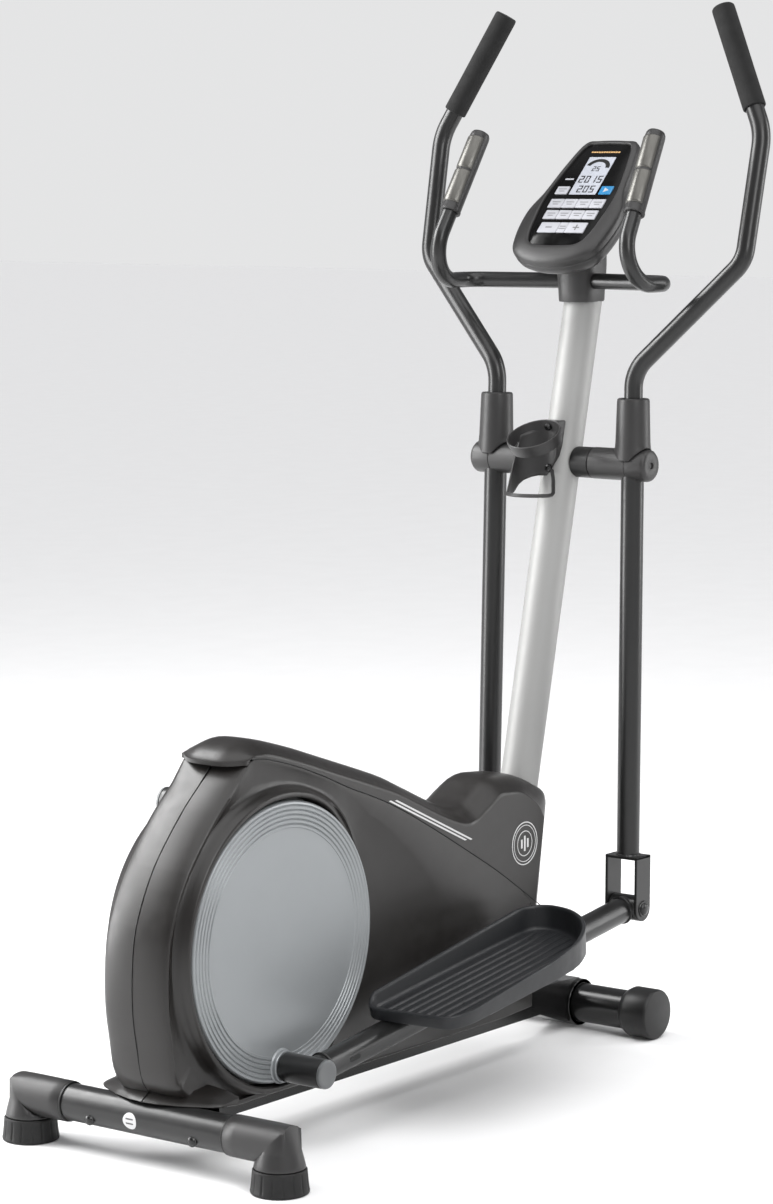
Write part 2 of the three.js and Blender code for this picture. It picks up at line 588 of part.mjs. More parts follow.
const OVERLAY = consoleOutline([[208, 40], [168, 52], [110, 64], [66, 66], [30, 56], [8, 46], [2, 36]]);
const FACE = consoleOutline([[224, 34], [217, 52], [168, 66], [115, 79], [70, 88], [20, 86], [-14, 72], [-26, 45]]);

function consoleBezel() {
  const plate = plateZ(FACE, -14, 3);
  return cut(plate, plateZ(inset(OVERLAY, -0.5), -1.4, 10), box([-10 + 108, -26, -20], [188, 26, 10]));
}

function consoleBack() {
  const shell = plateZ(FACE, -46, -14.4);
  const under = plateY([[-60, -10], [-60, -80], [10, -80], [-6, -47], [-30, -26]], -120, 120);
  const crest = plateY([[180, -60], [180, -47], [212, -30], [240, -30], [240, -60]], -120, 120);
  return cut(shell, under, crest, plateZ(inset(FACE, 8), -40, -10));
}

// Neck: closes the mast's top end and carries the console; the pulse bar runs through it.
function consoleNeck() {
  const outline = [[812, -22], [822, -34], [880, -34], [892, -24], [892, 24], [880, 34], [822, 34], [812, 22]];
  const block = plateZ(outline, 1163, 1330);
  const console = new THREE.BoxGeometry(700, 400, 200).translate(100, 0, 100 - 46.6).rotateY(CONSOLE.tilt);
  return cut(block, solid(console.translate(CONSOLE.x, 0, CONSOLE.z)), alongMast(MAST.radius + 0.6, 900, MAST.length + 1),
    tubeAlong(pulsePath(), PULSE.radius + 0.7));
}

const PULSE_TOP = [809.4, 166.1, 1426.4];
const PULSE_FOOT = [736.1, 173.9, 1303.8];

function pulsePath() {
  const far = (corner) => [corner[0], -corner[1], corner[2]];
  const curl = [671.5, 181, 1196];
  const shoulder = [815, 190, 1196];
  const end = new THREE.Vector3(...PULSE_TOP).lerp(new THREE.Vector3(...PULSE_FOOT), 0.04).toArray();
  return bentPath([end, curl, shoulder, [849, 0, 1196], far(shoulder), far(curl), far(end)],
    [53, 36, 200, 36, 53]);
}

function pulseBar() {
  const path = pulsePath();
  return cut(tubeAlong(path, PULSE.radius), tubeAlong(path, PULSE.radius - 2, 6));
}

function pulseGrip() {
  const { radius, grip } = PULSE;
  return turnedZ([[radius + 0.7, 0], [grip, 0], [grip, 139], [12, 146], [0, 146], [0, 141], [radius + 0.7, 141],
    [radius + 0.7, 0]], 0, 0, 14);
}

function pulseContact(z0, z1) {
  const { grip, contact } = PULSE;
  const spread = THREE.MathUtils.degToRad(62);
  const sector = [...arc(0, 0, contact, Math.PI - spread, Math.PI + spread, 6),
    ...arc(0, 0, grip + 0.5, Math.PI + spread, Math.PI - spread, 6)];
  return plateZ(sector, z0, z1);
}

// ---- assembly ----
piece('base_frame', baseFrame(), 'blackSteel');
piece('rear_stabilizer', pipeY(REAR.radius, REAR.wall, REAR.half, REAR.x, REAR.z, 18), 'darkSteel');
piece('front_stabilizer', pipeY(FRONT.radius, FRONT.wall, FRONT.half, FRONT.x, FRONT.z, 20), 'blackSteel');
piece('top_shield', topShield(), 'shroud');
piece('pivot_axle', rodY(AXLE.radius, -AXLE.half, AXLE.half, PIVOT.x, PIVOT.z), 'steel');
piece('bottle_holder', bottleHolder(), 'plastic');
piece('console_neck', consoleNeck(), 'plastic');
piece('pulse_bar', pulseBar(), 'darkSteel');
piece('mast', mast(), 'silverPaint', groupAt(mastFoot.x, mastFoot.z, MAST.lean));

piece('crankshaft', rodY(SHAFT.radius, -SHAFT.half, SHAFT.half, 0, CRANK.z), 'steel');
piece('drive_pulley', drivePulley(), 'blackPlastic');
piece('flywheel', flywheel(), 'castIron');
piece('drive_belt', driveBelt(), 'rubber');
piece('brake_magnet', brakeMagnet(), 'steel', groupAt(FLYWHEEL.x, FLYWHEEL.z, 0));

const face = groupAt(CONSOLE.x, CONSOLE.z, CONSOLE.tilt);
piece('console_bezel', consoleBezel(), 'plastic', face);
piece('console_back', consoleBack(), 'plastic', face);
const keySlots = {
  key_minus: ['whiteKey', [15, 8], [37, 44]],
  key_plus: ['whiteKey', [15, -44], [37, -8]],
  program_keys_lower: ['whiteKey', [45, -51], [64, 48]],
  program_keys_upper: ['whiteKey', [70, -53], [89, 51]],
  key_select: ['whiteKey', [100, 29], [117, 52]],
  key_start: ['blueKey', [100, -54], [118, -31]],
};
const windows = Object.values(keySlots).map(([, low, high]) => box([low[0] - GAP, low[1] - GAP, -9],
  [high[0] + GAP, high[1] + GAP, 9]));
piece('console_overlay', cut(plateZ(OVERLAY, -1, 0.6), box([99.6, -26.4, -9], [184.4, 25.4, 9]), ...windows),
  'overlay', face);
piece('lcd_module', box([100, -25.6, -12], [184, 24.8, 0.2]), 'lcd', face);
for (const [name, [look, low, high]] of Object.entries(keySlots)) {
  piece(name, box([...low, -0.2], [...high, 2.2]), look, face);
}

for (const [side, sign] of [['left', 1], ['right', -1]]) {
  const onSide = (shape) => (sign > 0 ? shape : mirrored(shape));
  const sided = (name, shape, look, parent) => piece(`${name}_${side}`, onSide(shape), look, parent);
  const toSide = ([x, y, z]) => [x, sign * y, z];

  sided('rear_end_cap', rearEndCap(), 'plastic');
  sided('levelling_foot', levellingFoot(), 'rubber');
  sided('front_end_cap', frontEndCap(), 'blackPlastic');
  sided('pivot_tube', pivotTube(), 'blackSteel');
  sided('side_shield', sideShield(), 'shroud');

  stand(sided('pulse_grip', pulseGrip(), 'plastic'), toSide(PULSE_FOOT), toSide(PULSE_TOP));
  for (const [name, low, high] of [['pulse_contact_lower', 14, 72], ['pulse_contact_upper', 75, 133]]) {
    stand(sided(name, pulseContact(low, high), 'contact'), toSide(PULSE_FOOT), toSide(PULSE_TOP));
  }

  // The crank pins are opposite each other; arm and lever meet at the fork bolt below the pivot.
  const phase = CRANK.phase + (sign > 0 ? Math.PI : 0);
  const pin = { x: CRANK.throw * Math.cos(phase), z: CRANK.z + CRANK.throw * Math.sin(phase) };
  const bolt = forkBoltFrom(pin);
  const crankGroup = groupAt(0, CRANK.z, 0);
  const boss = rodY(23, DISC.face - 3, DISC.boss, pin.x, pin.z - CRANK.z);
  sided('crank_disc', join(crankDisc(), boss), 'disc', crankGroup);

  const lever = groupAt(PIVOT.x, PIVOT.z, Math.atan2(PIVOT.x - bolt.x, PIVOT.z - bolt.z));
  sided('lever', leverWeldment(), 'darkSteel', lever);
  sided('pivot_cap', pivotCap(), 'plastic', lever);
  sided('handle_sleeve', handleSleeve(), 'plastic', lever);
  sided('handle', handle(), 'darkSteel', lever);
  stand(sided('foam_grip', foamGrip(), 'foam', lever), toSide(alongGrip(GRIP_LENGTH)), toSide(GRIP_TOP));

  const arm = groupAt(pin.x, pin.z, -Math.atan2(bolt.z - pin.z, bolt.x - pin.x));
  sided('pedal_arm', pedalArm(), 'darkSteel', arm);
  sided('crank_pin', crankPin(), 'steel', arm);
  sided('pedal', pedal(), 'pedal', arm);
  sided('fork_bolt', forkBolt(), 'steel', lever).position.z = -LEVER_LENGTH;
}

// Fork bolt of a lever whose arm starts at the given crank pin: the lower meeting of two circles.
function forkBoltFrom(pin) {
  const dx = PIVOT.x - pin.x;
  const dz = PIVOT.z - pin.z;
  const distance = Math.hypot(dx, dz);
  const along = (ARM_LENGTH ** 2 - LEVER_LENGTH ** 2 + distance ** 2) / (2 * distance);
  const off = Math.sqrt(ARM_LENGTH ** 2 - along ** 2);
  return { x: pin.x + (along * dx + off * dz) / distance, z: pin.z + (along * dz - off * dx) / distance };
}

trainer.position.x = -CENTRE_X;

export default trainer;
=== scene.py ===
# Elliptical trainer: the visible model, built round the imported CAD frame.
# Shapes are written in millimetres, with X from the crank axis, Y from the centre plane and Z from the
# floor, and put() turns them into the row frame in metres.
from math import atan2, cos, degrees, hypot, pi, radians, sin, sqrt, tan

import bmesh
import bpy
import numpy as np
from mathutils import Matrix, Vector


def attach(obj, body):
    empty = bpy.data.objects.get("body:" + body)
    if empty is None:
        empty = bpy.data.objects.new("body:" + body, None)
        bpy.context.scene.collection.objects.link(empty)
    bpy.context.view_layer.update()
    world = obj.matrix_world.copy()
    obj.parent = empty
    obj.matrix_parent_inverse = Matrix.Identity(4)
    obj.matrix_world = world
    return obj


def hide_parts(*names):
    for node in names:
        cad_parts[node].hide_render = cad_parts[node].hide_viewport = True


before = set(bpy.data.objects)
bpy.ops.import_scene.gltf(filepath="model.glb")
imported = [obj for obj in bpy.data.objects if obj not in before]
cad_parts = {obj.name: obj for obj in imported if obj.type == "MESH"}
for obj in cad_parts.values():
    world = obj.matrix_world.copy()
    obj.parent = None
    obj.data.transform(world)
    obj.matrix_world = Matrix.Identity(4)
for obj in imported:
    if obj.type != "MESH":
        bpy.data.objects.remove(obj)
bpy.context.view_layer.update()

# ---- driving dimensions, as in the CAD ----
CENTRE_X = 356.3  # origin of the row frame
CRANK_Z = 288.0
THROW = 177.8  # crank axis to crank pin
PHASE = radians(-93.2)  # of the right crank pin
PIVOT = (802.0, 913.0)  # (x, z) of the levers' axle
LEVER = 701.3  # axle to fork bolt
ARM = 810.0  # crank pin to fork bolt
TRACK = 131.0  # centre plane to the middle of a lever
LEAN = radians(13.15)  # of the mast
MAST_TOP = (858.8, 1175.0)
MAST_LENGTH = 1112.5
FACE_ORIGIN = (779.5, 1261.6)  # (x, z) at the foot of the console's face
TILT = radians(-43.95)  # of the console's face
REAR = (-208.0, 66.0)  # (x, z) of the stabilizer tubes
FRONT = (811.5, 40.0)
REAR_AXIS, FRONT_AXIS = (REAR[0], 0, REAR[1]), (FRONT[0], 0, FRONT[1])
REAR_RADIUS = 26.5
FOOT_Y = 228.6
SIDES = {"left": 1, "right": -1}

# Lines of the shroud as (x, z): edge of the lid, rear wall, underside, and the lid's ridge and shoulder.
SEAM = [(661, 224), (604, 261), (535, 304), (467, 342), (379, 390), (293, 434), (231, 461), (169, 484),
        (110, 509), (45, 533), (-21, 552), (-56, 556)]
REAR_WALL = [(-97, 522), (-141, 483), (-197, 419), (-232, 353), (-244, 301), (-246, 229), (-238, 173),
             (-226, 121)]
UNDERSIDE = [(-196, 92), (-150, 74), (-90, 66), (560, 66)]
RIDGE = [(716, 389), (705, 405), (633, 435), (578, 444), (546, 443), (508, 423), (470, 408), (414, 425),
         (326, 464), (267, 489), (128, 536), (67, 556), (-6, 576), (-38, 578), (-68, 567), (-87, 551)]
SHOULDER = [(664, 372), (650, 391), (610, 416), (572, 422), (546, 421), (508, 403), (470, 389), (414, 405),
            (326, 444), (267, 469), (128, 516), (67, 537), (-6, 559), (-34, 562), (-50, 562), (-65, 555)]


def add(name, data):
    obj = bpy.data.objects.new(name, data)
    bpy.context.scene.collection.objects.link(obj)
    return obj


# ---- materials ----
def tune(node, **values):
    """Sets inputs by their names, with _ for a space."""
    for name, value in values.items():
        node.inputs[name.replace("_", " ")].default_value = value
    return node


LOOKS = {}


def finish(name, color, rough, metal=0.0, coat=0.0, grain=900, bump=0.05, mottle=0.08, wear=0.06,
           stretch=(1, 1, 1), shine=0.5):
    """Moulded or painted surface: fine grain bump, soft colour drift and uneven roughness."""
    first, *others = name.split("_")
    mat = bpy.data.materials.new(first + "".join(other.title() for other in others))
    LOOKS[name] = mat
    mat.use_nodes = True
    nodes, links = mat.node_tree.nodes, mat.node_tree.links
    shader = nodes["Principled BSDF"]
    tune(shader, Metallic=metal, Coat_Weight=coat, Specular_IOR_Level=shine, Coat_Roughness=0.18)
    place = nodes.new("ShaderNodeTexCoord")
    scaled = tune(nodes.new("ShaderNodeMapping"), Scale=stretch)
    links.new(place.outputs["Object"], scaled.inputs["Vector"])

    def noise(scale, detail):
        node = tune(nodes.new("ShaderNodeTexNoise"), Scale=scale, Detail=detail)
        links.new(scaled.outputs["Vector"], node.inputs["Vector"])
        return node.outputs["Fac"]

    def spread(source, low, high):
        node = tune(nodes.new("ShaderNodeMapRange"), From_Min=0.3, From_Max=0.7, To_Min=low, To_Max=high)
        links.new(source, node.inputs["Value"])
        return node.outputs["Result"]

    drift = nodes.new("ShaderNodeMix")
    drift.data_type = "RGBA"
    tune(drift, A=(*[c * (1 - mottle) for c in color], 1), B=(*[min(1, c * (1 + mottle)) for c in color], 1))
    links.new(spread(noise(9.0, 4.0), 0, 1), drift.inputs["Factor"])
    links.new(drift.outputs["Result"], shader.inputs["Base Color"])
    links.new(spread(noise(60.0, 3.0), rough - wear, rough + wear), shader.inputs["Roughness"])
    if bump:
        relief = tune(nodes.new("ShaderNodeBump"), Strength=bump, Distance=0.0004)
        links.new(noise(grain, 2.0), relief.inputs["Height"])
        links.new(relief.outputs["Normal"], shader.inputs["Normal"])
    return mat


def grey(value, tint=(1, 1, 1)):
    return tuple(value * t for t in tint)


# Looks are named like the record's slots.
finish("shroud", grey(0.0105, (1.12, 1, 0.92)), 0.36, bump=0.14, mottle=0.05, wear=0.03,
       shine=0.42)
finish("plastic", grey(0.021, (1.03, 1, 1)), 0.42, grain=1000, bump=0.2, mottle=0.05, wear=0.03, shine=0.42)
finish("black_plastic", grey(0.009), 0.42, bump=0.15, wear=0.03, shine=0.35)
finish("dark_steel", grey(0.014), 0.32, metal=0.15, coat=0.1, grain=350, bump=0.04, wear=0.03, shine=0.42)
finish("black_steel", grey(0.006), 0.24, coat=0.15, grain=350, bump=0.03, wear=0.02, shine=0.35)
finish("silver_paint", grey(0.29, (1.0, 1, 0.98)), 0.52, metal=0.2, grain=1500, bump=0.06, mottle=0.02,
       wear=0.03)
finish("disc", grey(0.25, (0.95, 1, 1.03)), 0.38, metal=0.4, grain=1500, mottle=0.015, wear=0.02)
finish("foam", grey(0.014), 0.92, grain=420, bump=0.8, mottle=0.2, shine=0.3)
finish("rubber", grey(0.008), 0.6, grain=500, bump=0.3, shine=0.35)
finish("pedal", grey(0.0145, (0.94, 1, 1.12)), 0.46, grain=650, bump=0.35, wear=0.04, shine=0.4)
finish("steel", grey(0.45), 0.3, metal=1.0, grain=300, stretch=(1, 8, 1))
finish("cast_iron", grey(0.1), 0.6, metal=0.8, grain=260, bump=0.4)
finish("contact", grey(0.1, (1.03, 1, 0.92)), 0.34, metal=0.6, grain=300, stretch=(6, 6, 1))
finish("overlay", grey(0.003), 0.16, grain=1500, bump=0.02, shine=0.12)
finish("lcd", grey(0.37, (0.93, 0.97, 1.08)), 0.3, grain=1500, bump=0.02)
finish("ink", grey(0.004), 0.45, shine=0.3)
finish("print", grey(0.1), 0.5)
finish("gilt", (0.5, 0.3, 0.12), 0.4)
finish("white_key", grey(0.38, (0.97, 0.98, 1.05)), 0.4, grain=1200, bump=0.08, mottle=0.03)
finish("blue_key", (0.02, 0.17, 0.36), 0.22, coat=0.5, grain=1200, bump=0.03)
finish("cap", grey(0.13, (0.96, 1, 1.02)), 0.4, metal=0.3, bump=0.1, wear=0.03)
finish("mark", grey(0.55), 0.45, mottle=0.03)


# ---- mesh building: every shape is (points, faces) in millimetres ----
def revolve(profile, axis="Y", at=(0, 0, 0), n=64, ripple=None):
    """Profile of (radius, height) turned about an axis and closed: into a ring if both its ends are off the
    axis, and with a flat end if one is. ripple(angle, radius, height) is added to every radius."""
    profile = list(profile)
    first_off, last_off = profile[0][0] > 1e-6, profile[-1][0] > 1e-6
    if last_off:
        profile.append(profile[0] if first_off else (0, profile[-1][1]))
    elif first_off:
        profile.insert(0, (0, profile[0][1]))
    points, rows = [], []
    for radius, height in profile:
        row = []
        for k in range(1 if radius < 1e-6 else n):
            angle = 2 * pi * k / n
            r = radius + (ripple(angle, radius, height) if ripple and radius > 1e-6 else 0)
            u, v = r * cos(angle), r * sin(angle)
            xyz = {"X": (height, u, v), "Y": (u, height, v), "Z": (u, v, height)}[axis]
            row.append(len(points))
            points.append([a + b for a, b in zip(xyz, at)])
        rows.append(row)
    faces = []
    for low, high in zip(rows, rows[1:]):
        for k in range(n):
            a, b = low[k % len(low)], low[(k + 1) % len(low)]
            c, d = high[(k + 1) % len(high)], high[k % len(high)]
            face = list(dict.fromkeys((a, b, c, d)))
            if len(face) > 2:
                faces.append(face)
    return points, faces


def loft(rings, caps=True, closed=True, around=False):
    """Skin over rings of equal length. closed: each ring is a loop. around: the last ring meets the first."""
    count = len(rings[0])
    points = [list(p) for ring in rings for p in ring]
    faces = []
    for i in range(len(rings) if around else len(rings) - 1):
        low, high = i * count, ((i + 1) % len(rings)) * count
        for k in range(count if closed else count - 1):
            m = (k + 1) % count
            faces.append([low + k, low + m, high + m, high + k])
    if caps and not around:
        faces.append(list(range(count))[::-1])
        faces.append([(len(rings) - 1) * count + k for k in range(count)])
    return points, faces


def prism(outline, low, high, axis="Y"):
    """Outline of corner pairs pulled along an axis: [x, z] along Y, [x, y] along Z, [y, z] along X."""
    order = {"X": (2, 0, 1), "Y": (0, 2, 1), "Z": (0, 1, 2)}[axis]
    return loft([[[(a, b, h)[i] for i in order] for a, b in outline] for h in (low, high)])


def block(low, high):
    (x0, y0, z0), (x1, y1, z1) = low, high
    return prism([(x0, y0), (x1, y0), (x1, y1), (x0, y1)], z0, z1, "Z")


def sweep(path, section):
    """Section of (u, v) corners, or one per station, carried along a path without twist."""
    path = [Vector(p) for p in path]
    neighbours = zip(path[:1] + path[:-1], path[1:] + path[-1:])
    tangents = [(after - before).normalized() for before, after in neighbours]
    side = tangents[0].orthogonal().normalized()
    rings = []
    for i, (point, tangent) in enumerate(zip(path, tangents)):
        if i:
            side = (tangents[i - 1].rotation_difference(tangent) @ side).normalized()
        up = tangent.cross(side)
        corners = section[i] if isinstance(section[0], list) else section
        rings.append([point + side * u + up * v for u, v in corners])
    return loft(rings)


def circle(radius, n):
    return [(radius * cos(2 * pi * k / n), radius * sin(2 * pi * k / n)) for k in range(n)]


def arc(x, z, radius, start, end, steps):
    angles = [start + (end - start) * i / steps for i in range(steps + 1)]
    return [(x + radius * cos(a), z + radius * sin(a)) for a in angles]


def rounded(outline, radius, steps=5):
    """Outline with each corner replaced by a quadratic curve that starts one radius before it."""
    result = []
    for i, corner in enumerate(outline):
        corner = Vector(corner)
        before, after = Vector(outline[i - 1]), Vector(outline[(i + 1) % len(outline)])
        reach = min(radius, (before - corner).length * 0.49, (after - corner).length * 0.49)
        start = corner + (before - corner).normalized() * reach
        end = corner + (after - corner).normalized() * reach
        for k in range(steps + 1):
            t = k / steps
            result.append(tuple(start * (1 - t) ** 2 + corner * 2 * t * (1 - t) + end * t * t))
    return result


def bent(corners, radii, step=radians(5)):
    """Path along straight runs with a round bend at each inner corner."""
    points = [Vector(c) for c in corners]
    stations = [points[0]]
    for i, radius in enumerate(radii):
        before, corner, after = points[i:i + 3]
        into, out = (corner - before).normalized(), (after - corner).normalized()
        turn = into.angle(out)
        across = (out - into * cos(turn)).normalized()
        start = corner - into * radius * tan(turn / 2)
        for k in range(max(2, round(turn / step)) + 1):
            angle = turn * k / max(2, round(turn / step))
            stations.append(start + into * radius * sin(angle) + across * radius * (1 - cos(angle)))
    return stations + [points[-1]]


def rounded_box(low, high, radius, steps=4):
    (x0, y0), (x1, y1) = low, high
    return rounded([(x0, y0), (x1, y0), (x1, y1), (x0, y1)], radius, steps)


def spline(corners, per=4, closed=False):
    """Catmull-Rom curve through corners of any dimension, closed or with straight ends."""
    corners = [np.array(c, float) for c in corners]
    if closed:
        corners = corners[-1:] + corners + corners[:2]
    else:
        corners = [2 * corners[0] - corners[1]] + corners + [2 * corners[-1] - corners[-2]]
    result = []
    for p0, p1, p2, p3 in zip(corners, corners[1:], corners[2:], corners[3:]):
        for t in np.arange(per) / per:
            result.append(0.5 * (2 * p1 + (p2 - p0) * t + (2 * p0 - 5 * p1 + 4 * p2 - p3) * t * t
                                 + (3 * p1 - p0 - 3 * p2 + p3) * t ** 3))
    return result if closed else result + [corners[-2]]


def facing_rear(profile, x, y, z, n=28):
    """Turned shape whose height is measured backwards from x."""
    points, faces = revolve(profile, "X", (0, y, z), n)
    return [[x - p[0], p[1], p[2]] for p in points], faces


def join(*shapes):
    points, faces = [], []
    for shape_points, shape_faces in shapes:
        faces += [[i + len(points) for i in face] for face in shape_faces]
        points += [list(p) for p in shape_points]
    return points, faces


def put(name, shape, look, body="frame", nodes=(), slot=None, matrix=None, side=1, sharp=32, bevel=0.0,
        solidify=0.0, offset=0):
    """Makes one piece in the row frame, finishes it and ties it to its body. side -1 mirrors it in Y."""
    points = np.array([list(p) for p in shape[0]], float) * (1, side, 1)
    if matrix is not None:
        points = points @ np.array(matrix.to_3x3()).T + np.array(matrix.translation)
    points = (points - (CENTRE_X, 0, 0)) * 0.001
    mesh = bpy.data.meshes.new(name)
    mesh.from_pydata(points.tolist(), [], shape[1])
    work = bmesh.new()
    work.from_mesh(mesh)
    bmesh.ops.remove_doubles(work, verts=work.verts, dist=1e-6)
    bmesh.ops.recalc_face_normals(work, faces=work.faces)
    work.to_mesh(mesh)
    work.free()
    mesh.polygons.foreach_set("use_smooth", [True] * len(mesh.polygons))
    mesh.set_sharp_from_angle(angle=radians(sharp))
    mesh.materials.append(LOOKS[look])
    obj = add(name, mesh)
    if solidify:
        thick = obj.modifiers.new("thickness", "SOLIDIFY")
        thick.thickness = solidify * 0.001
        thick.offset = offset
    if bevel:
        edge = obj.modifiers.new("edges", "BEVEL")
        edge.width = bevel * 0.001
        edge.segments = 3
        edge.limit_method = "ANGLE"
        edge.angle_limit = radians(35)
        edge.harden_normals = True
    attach(obj, body)
    if nodes:
        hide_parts(*nodes)
    return obj


def sided(side, body="frame", matrix=None):
    """put() for one side of the machine: the side's name is added to the names of the piece and its nodes."""
    def place(name, shape, look, *nodes, **options):
        nodes = [f"{node}_{side}" for node in nodes]
        options.setdefault("matrix", matrix)
        return put(f"{name}_{side}", shape, look, body, nodes, side=SIDES[side], **options)

    return place


# ---- linkage ----
def fork_bolt_from(pin):
    """Place of the fork bolt, one arm from the crank pin and one lever from the axle."""
    dx, dz = PIVOT[0] - pin[0], PIVOT[1] - pin[1]
    distance = hypot(dx, dz)
    along = (ARM ** 2 - LEVER ** 2 + distance ** 2) / (2 * distance)
    off = sqrt(ARM ** 2 - along ** 2)
    return pin[0] + (along * dx + off * dz) / distance, pin[1] + (along * dz - off * dx) / distance


def turned_frame(x, z, angle):
    return Matrix.Translation((x, 0, z)) @ Matrix.Rotation(angle, 4, "Y")


PINS, LEVER_FRAME, ARM_FRAME = {}, {}, {}
for side in SIDES:
    phase = PHASE + (pi if side == "left" else 0)
    crank_pin = (THROW * cos(phase), CRANK_Z + THROW * sin(phase))
    fork = fork_bolt_from(crank_pin)
    PINS[side] = crank_pin
    LEVER_FRAME[side] = turned_frame(*PIVOT, atan2(PIVOT[0] - fork[0], PIVOT[1] - fork[1]))
    ARM_FRAME[side] = turned_frame(*crank_pin, -atan2(fork[1] - crank_pin[1], fork[0] - crank_pin[0]))
MAST_FRAME = turned_frame(MAST_TOP[0] - MAST_LENGTH * sin(LEAN), MAST_TOP[1] - MAST_LENGTH * cos(LEAN),
                          LEAN)
FACE_FRAME = turned_frame(*FACE_ORIGIN, TILT)


def axis_frame(start, end):
    """Frame whose Z runs from start to end, turned as the shortest rotation from upright."""
    start, end = Vector(start), Vector(end)
    turn = Vector((0, 0, 1)).rotation_difference((end - start).normalized())
    return Matrix.Translation(start) @ turn.to_matrix().to_4x4()


# ---- camera, light and floor ----
CAMERA_PLACE = (-3.92828, -3.23139, 1.40217)  # in metres, with X from the crank axis
YAW, PITCH, ROLL = 0.648340, 0.124084, -0.003002
SENSOR, FOCAL_SHARE = 36.0, 3623.2 / 1204  # focal length over the picture's height
FLOOR_HALF, FLOOR_Z = 30, -0.0005
PALE = (0.78, 0.782, 0.786, 1)
# Name, place, aim, size and power of each area light, in metres and watts.
LIGHTS = (("key_light", (-1.6, -3.2, 2.8), (0, 0, 0.6), (1.4, 2.2), 66),
          ("left_light", (-1.9, 2.9, 1.7), (-0.2, 0, 0.6), (1.5, 3.4), 190),
          ("top_light", (-0.5, 2.5, 2.9), (0.2, 0, 1.2), (1.2, 1.6), 85),
          ("right_light", (2.6, -2.2, 1.6), (0.1, 0, 0.8), (0.8, 2.6), 50))


def add_camera():
    ahead = Vector((cos(YAW) * cos(PITCH), sin(YAW) * cos(PITCH), -sin(PITCH)))
    right = Vector((sin(YAW), -cos(YAW), 0))
    up = right.cross(ahead)
    right, up = (right * cos(ROLL) + up * sin(ROLL), up * cos(ROLL) - right * sin(ROLL))
    data = bpy.data.cameras.new("camera")
    data.sensor_fit = "VERTICAL"
    data.sensor_height = SENSOR
    data.lens = FOCAL_SHARE * SENSOR
    data.clip_start, data.clip_end = 0.1, 60
    camera = add("camera", data)
    place = Vector(CAMERA_PLACE) - Vector((CENTRE_X / 1000, 0, 0))
    camera.matrix_world = Matrix.Translation(place) @ Matrix((right, up, -ahead)).transposed().to_4x4()
    bpy.context.scene.camera = camera


def add_lights():
    for name, place, aim, size, power in LIGHTS:
        light = bpy.data.lights.new(name, "AREA")
        light.shape = "RECTANGLE"
        light.size, light.size_y = size
        light.energy = power
        lamp = add(name, light)
        lamp.location = place
        lamp.rotation_euler = (Vector(aim) - Vector(place)).to_track_quat("-Z", "Y").to_euler()
    overhead = bpy.data.lights.new("overhead", "SUN")
    overhead.energy, overhead.angle = 2.2, radians(70)
    add("overhead", overhead).rotation_euler = (radians(14), radians(-10), 0)


def add_world():
    """Surroundings that are pale below the horizon and just over it, and darker higher up."""
    world = bpy.data.worlds.new("studio")
    world.use_nodes = True
    nodes, links = world.node_tree.nodes, world.node_tree.links
    direction, split, levels = (nodes.new(f"ShaderNode{kind}")
                                for kind in ("TexCoord", "SeparateXYZ", "ValToRGB"))
    links.new(direction.outputs["Generated"], split.inputs["Vector"])
    links.new(split.outputs["Z"], levels.inputs["Fac"])
    links.new(levels.outputs["Color"], nodes["Background"].inputs["Color"])
    stops = levels.color_ramp.elements
    stops[0].position, stops[0].color = 0.0, PALE
    stops[1].position, stops[1].color = 0.055, PALE
    for position, level in ((0.14, 0.2), (0.8, 0.3)):
        stops.new(position).color = (level, level, level * 1.04, 1)
    bpy.context.scene.world = world
    bpy.context.scene.view_settings.view_transform = "Standard"


def add_floor():
    mesh = bpy.data.meshes.new("floor")
    corners = [(-1, -1), (1, -1), (1, 1), (-1, 1)]
    mesh.from_pydata([(x * FLOOR_HALF, y * FLOOR_HALF, FLOOR_Z) for x, y in corners], [], [(0, 1, 2, 3)])
    mesh.materials.append(finish("floor_paint", (0.86, 0.86, 0.86), 0.7, grain=40, bump=0.02, mottle=0.01))
    add("floor", mesh)


add_camera()
add_lights()
add_world()
add_floor()

# Carried-over CAD nodes get the same finishes as the new pieces, by their record slot.
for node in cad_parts.values():
    for material_slot in node.material_slots:
        if material_slot.material:
            base = material_slot.material.name.split(".")[0]
            material_slot.material = LOOKS.get(base, LOOKS["plastic"])


# ---- shroud ----
SMOOTH_REAR = spline(REAR_WALL + UNDERSIDE[:2], 5)
SMOOTH_SEAM = spline(SEAM)
FACE_FRONT, CENTRE_FRONT = 652, 690  # X of the shroud's front at the side face and in the centre plane
WELL_FLOOR, WELL_RADIUS = 44, 206.5  # of the round well behind each crank disc
LIP_FULL, LIP_DISHED = 75.5, 50  # |Y| of the well's lip, and of it where the face is dished
LID_SIDE = 60  # |Y| of the top shield's sides


def side_outline(front_x):
    return UNDERSIDE[1:] + [(front_x - 14, 70), (front_x, 215)] + SMOOTH_SEAM[4:] + SMOOTH_REAR[:-1]


def reach(outline, angles):
    """Distance from the crank axis to an outline that is seen whole from it, along each angle."""
    corners = np.array(outline, float) - (0, CRANK_Z)
    x, z = corners.T
    run, rise = (np.roll(corners, -1, axis=0) - corners).T
    result = []
    for angle in angles:
        turn = cos(angle) * rise - sin(angle) * run
        turn[abs(turn) < 1e-9] = np.inf
        along = (x * sin(angle) - z * cos(angle)) / turn
        met = (along >= -1e-6) & (along <= 1 + 1e-6)
        result.append(((x * rise - z * run) / turn)[met].max())
    return result


def ramp(value, keys):
    return float(np.interp(value, [k for k, _ in keys], [v for _, v in keys]))


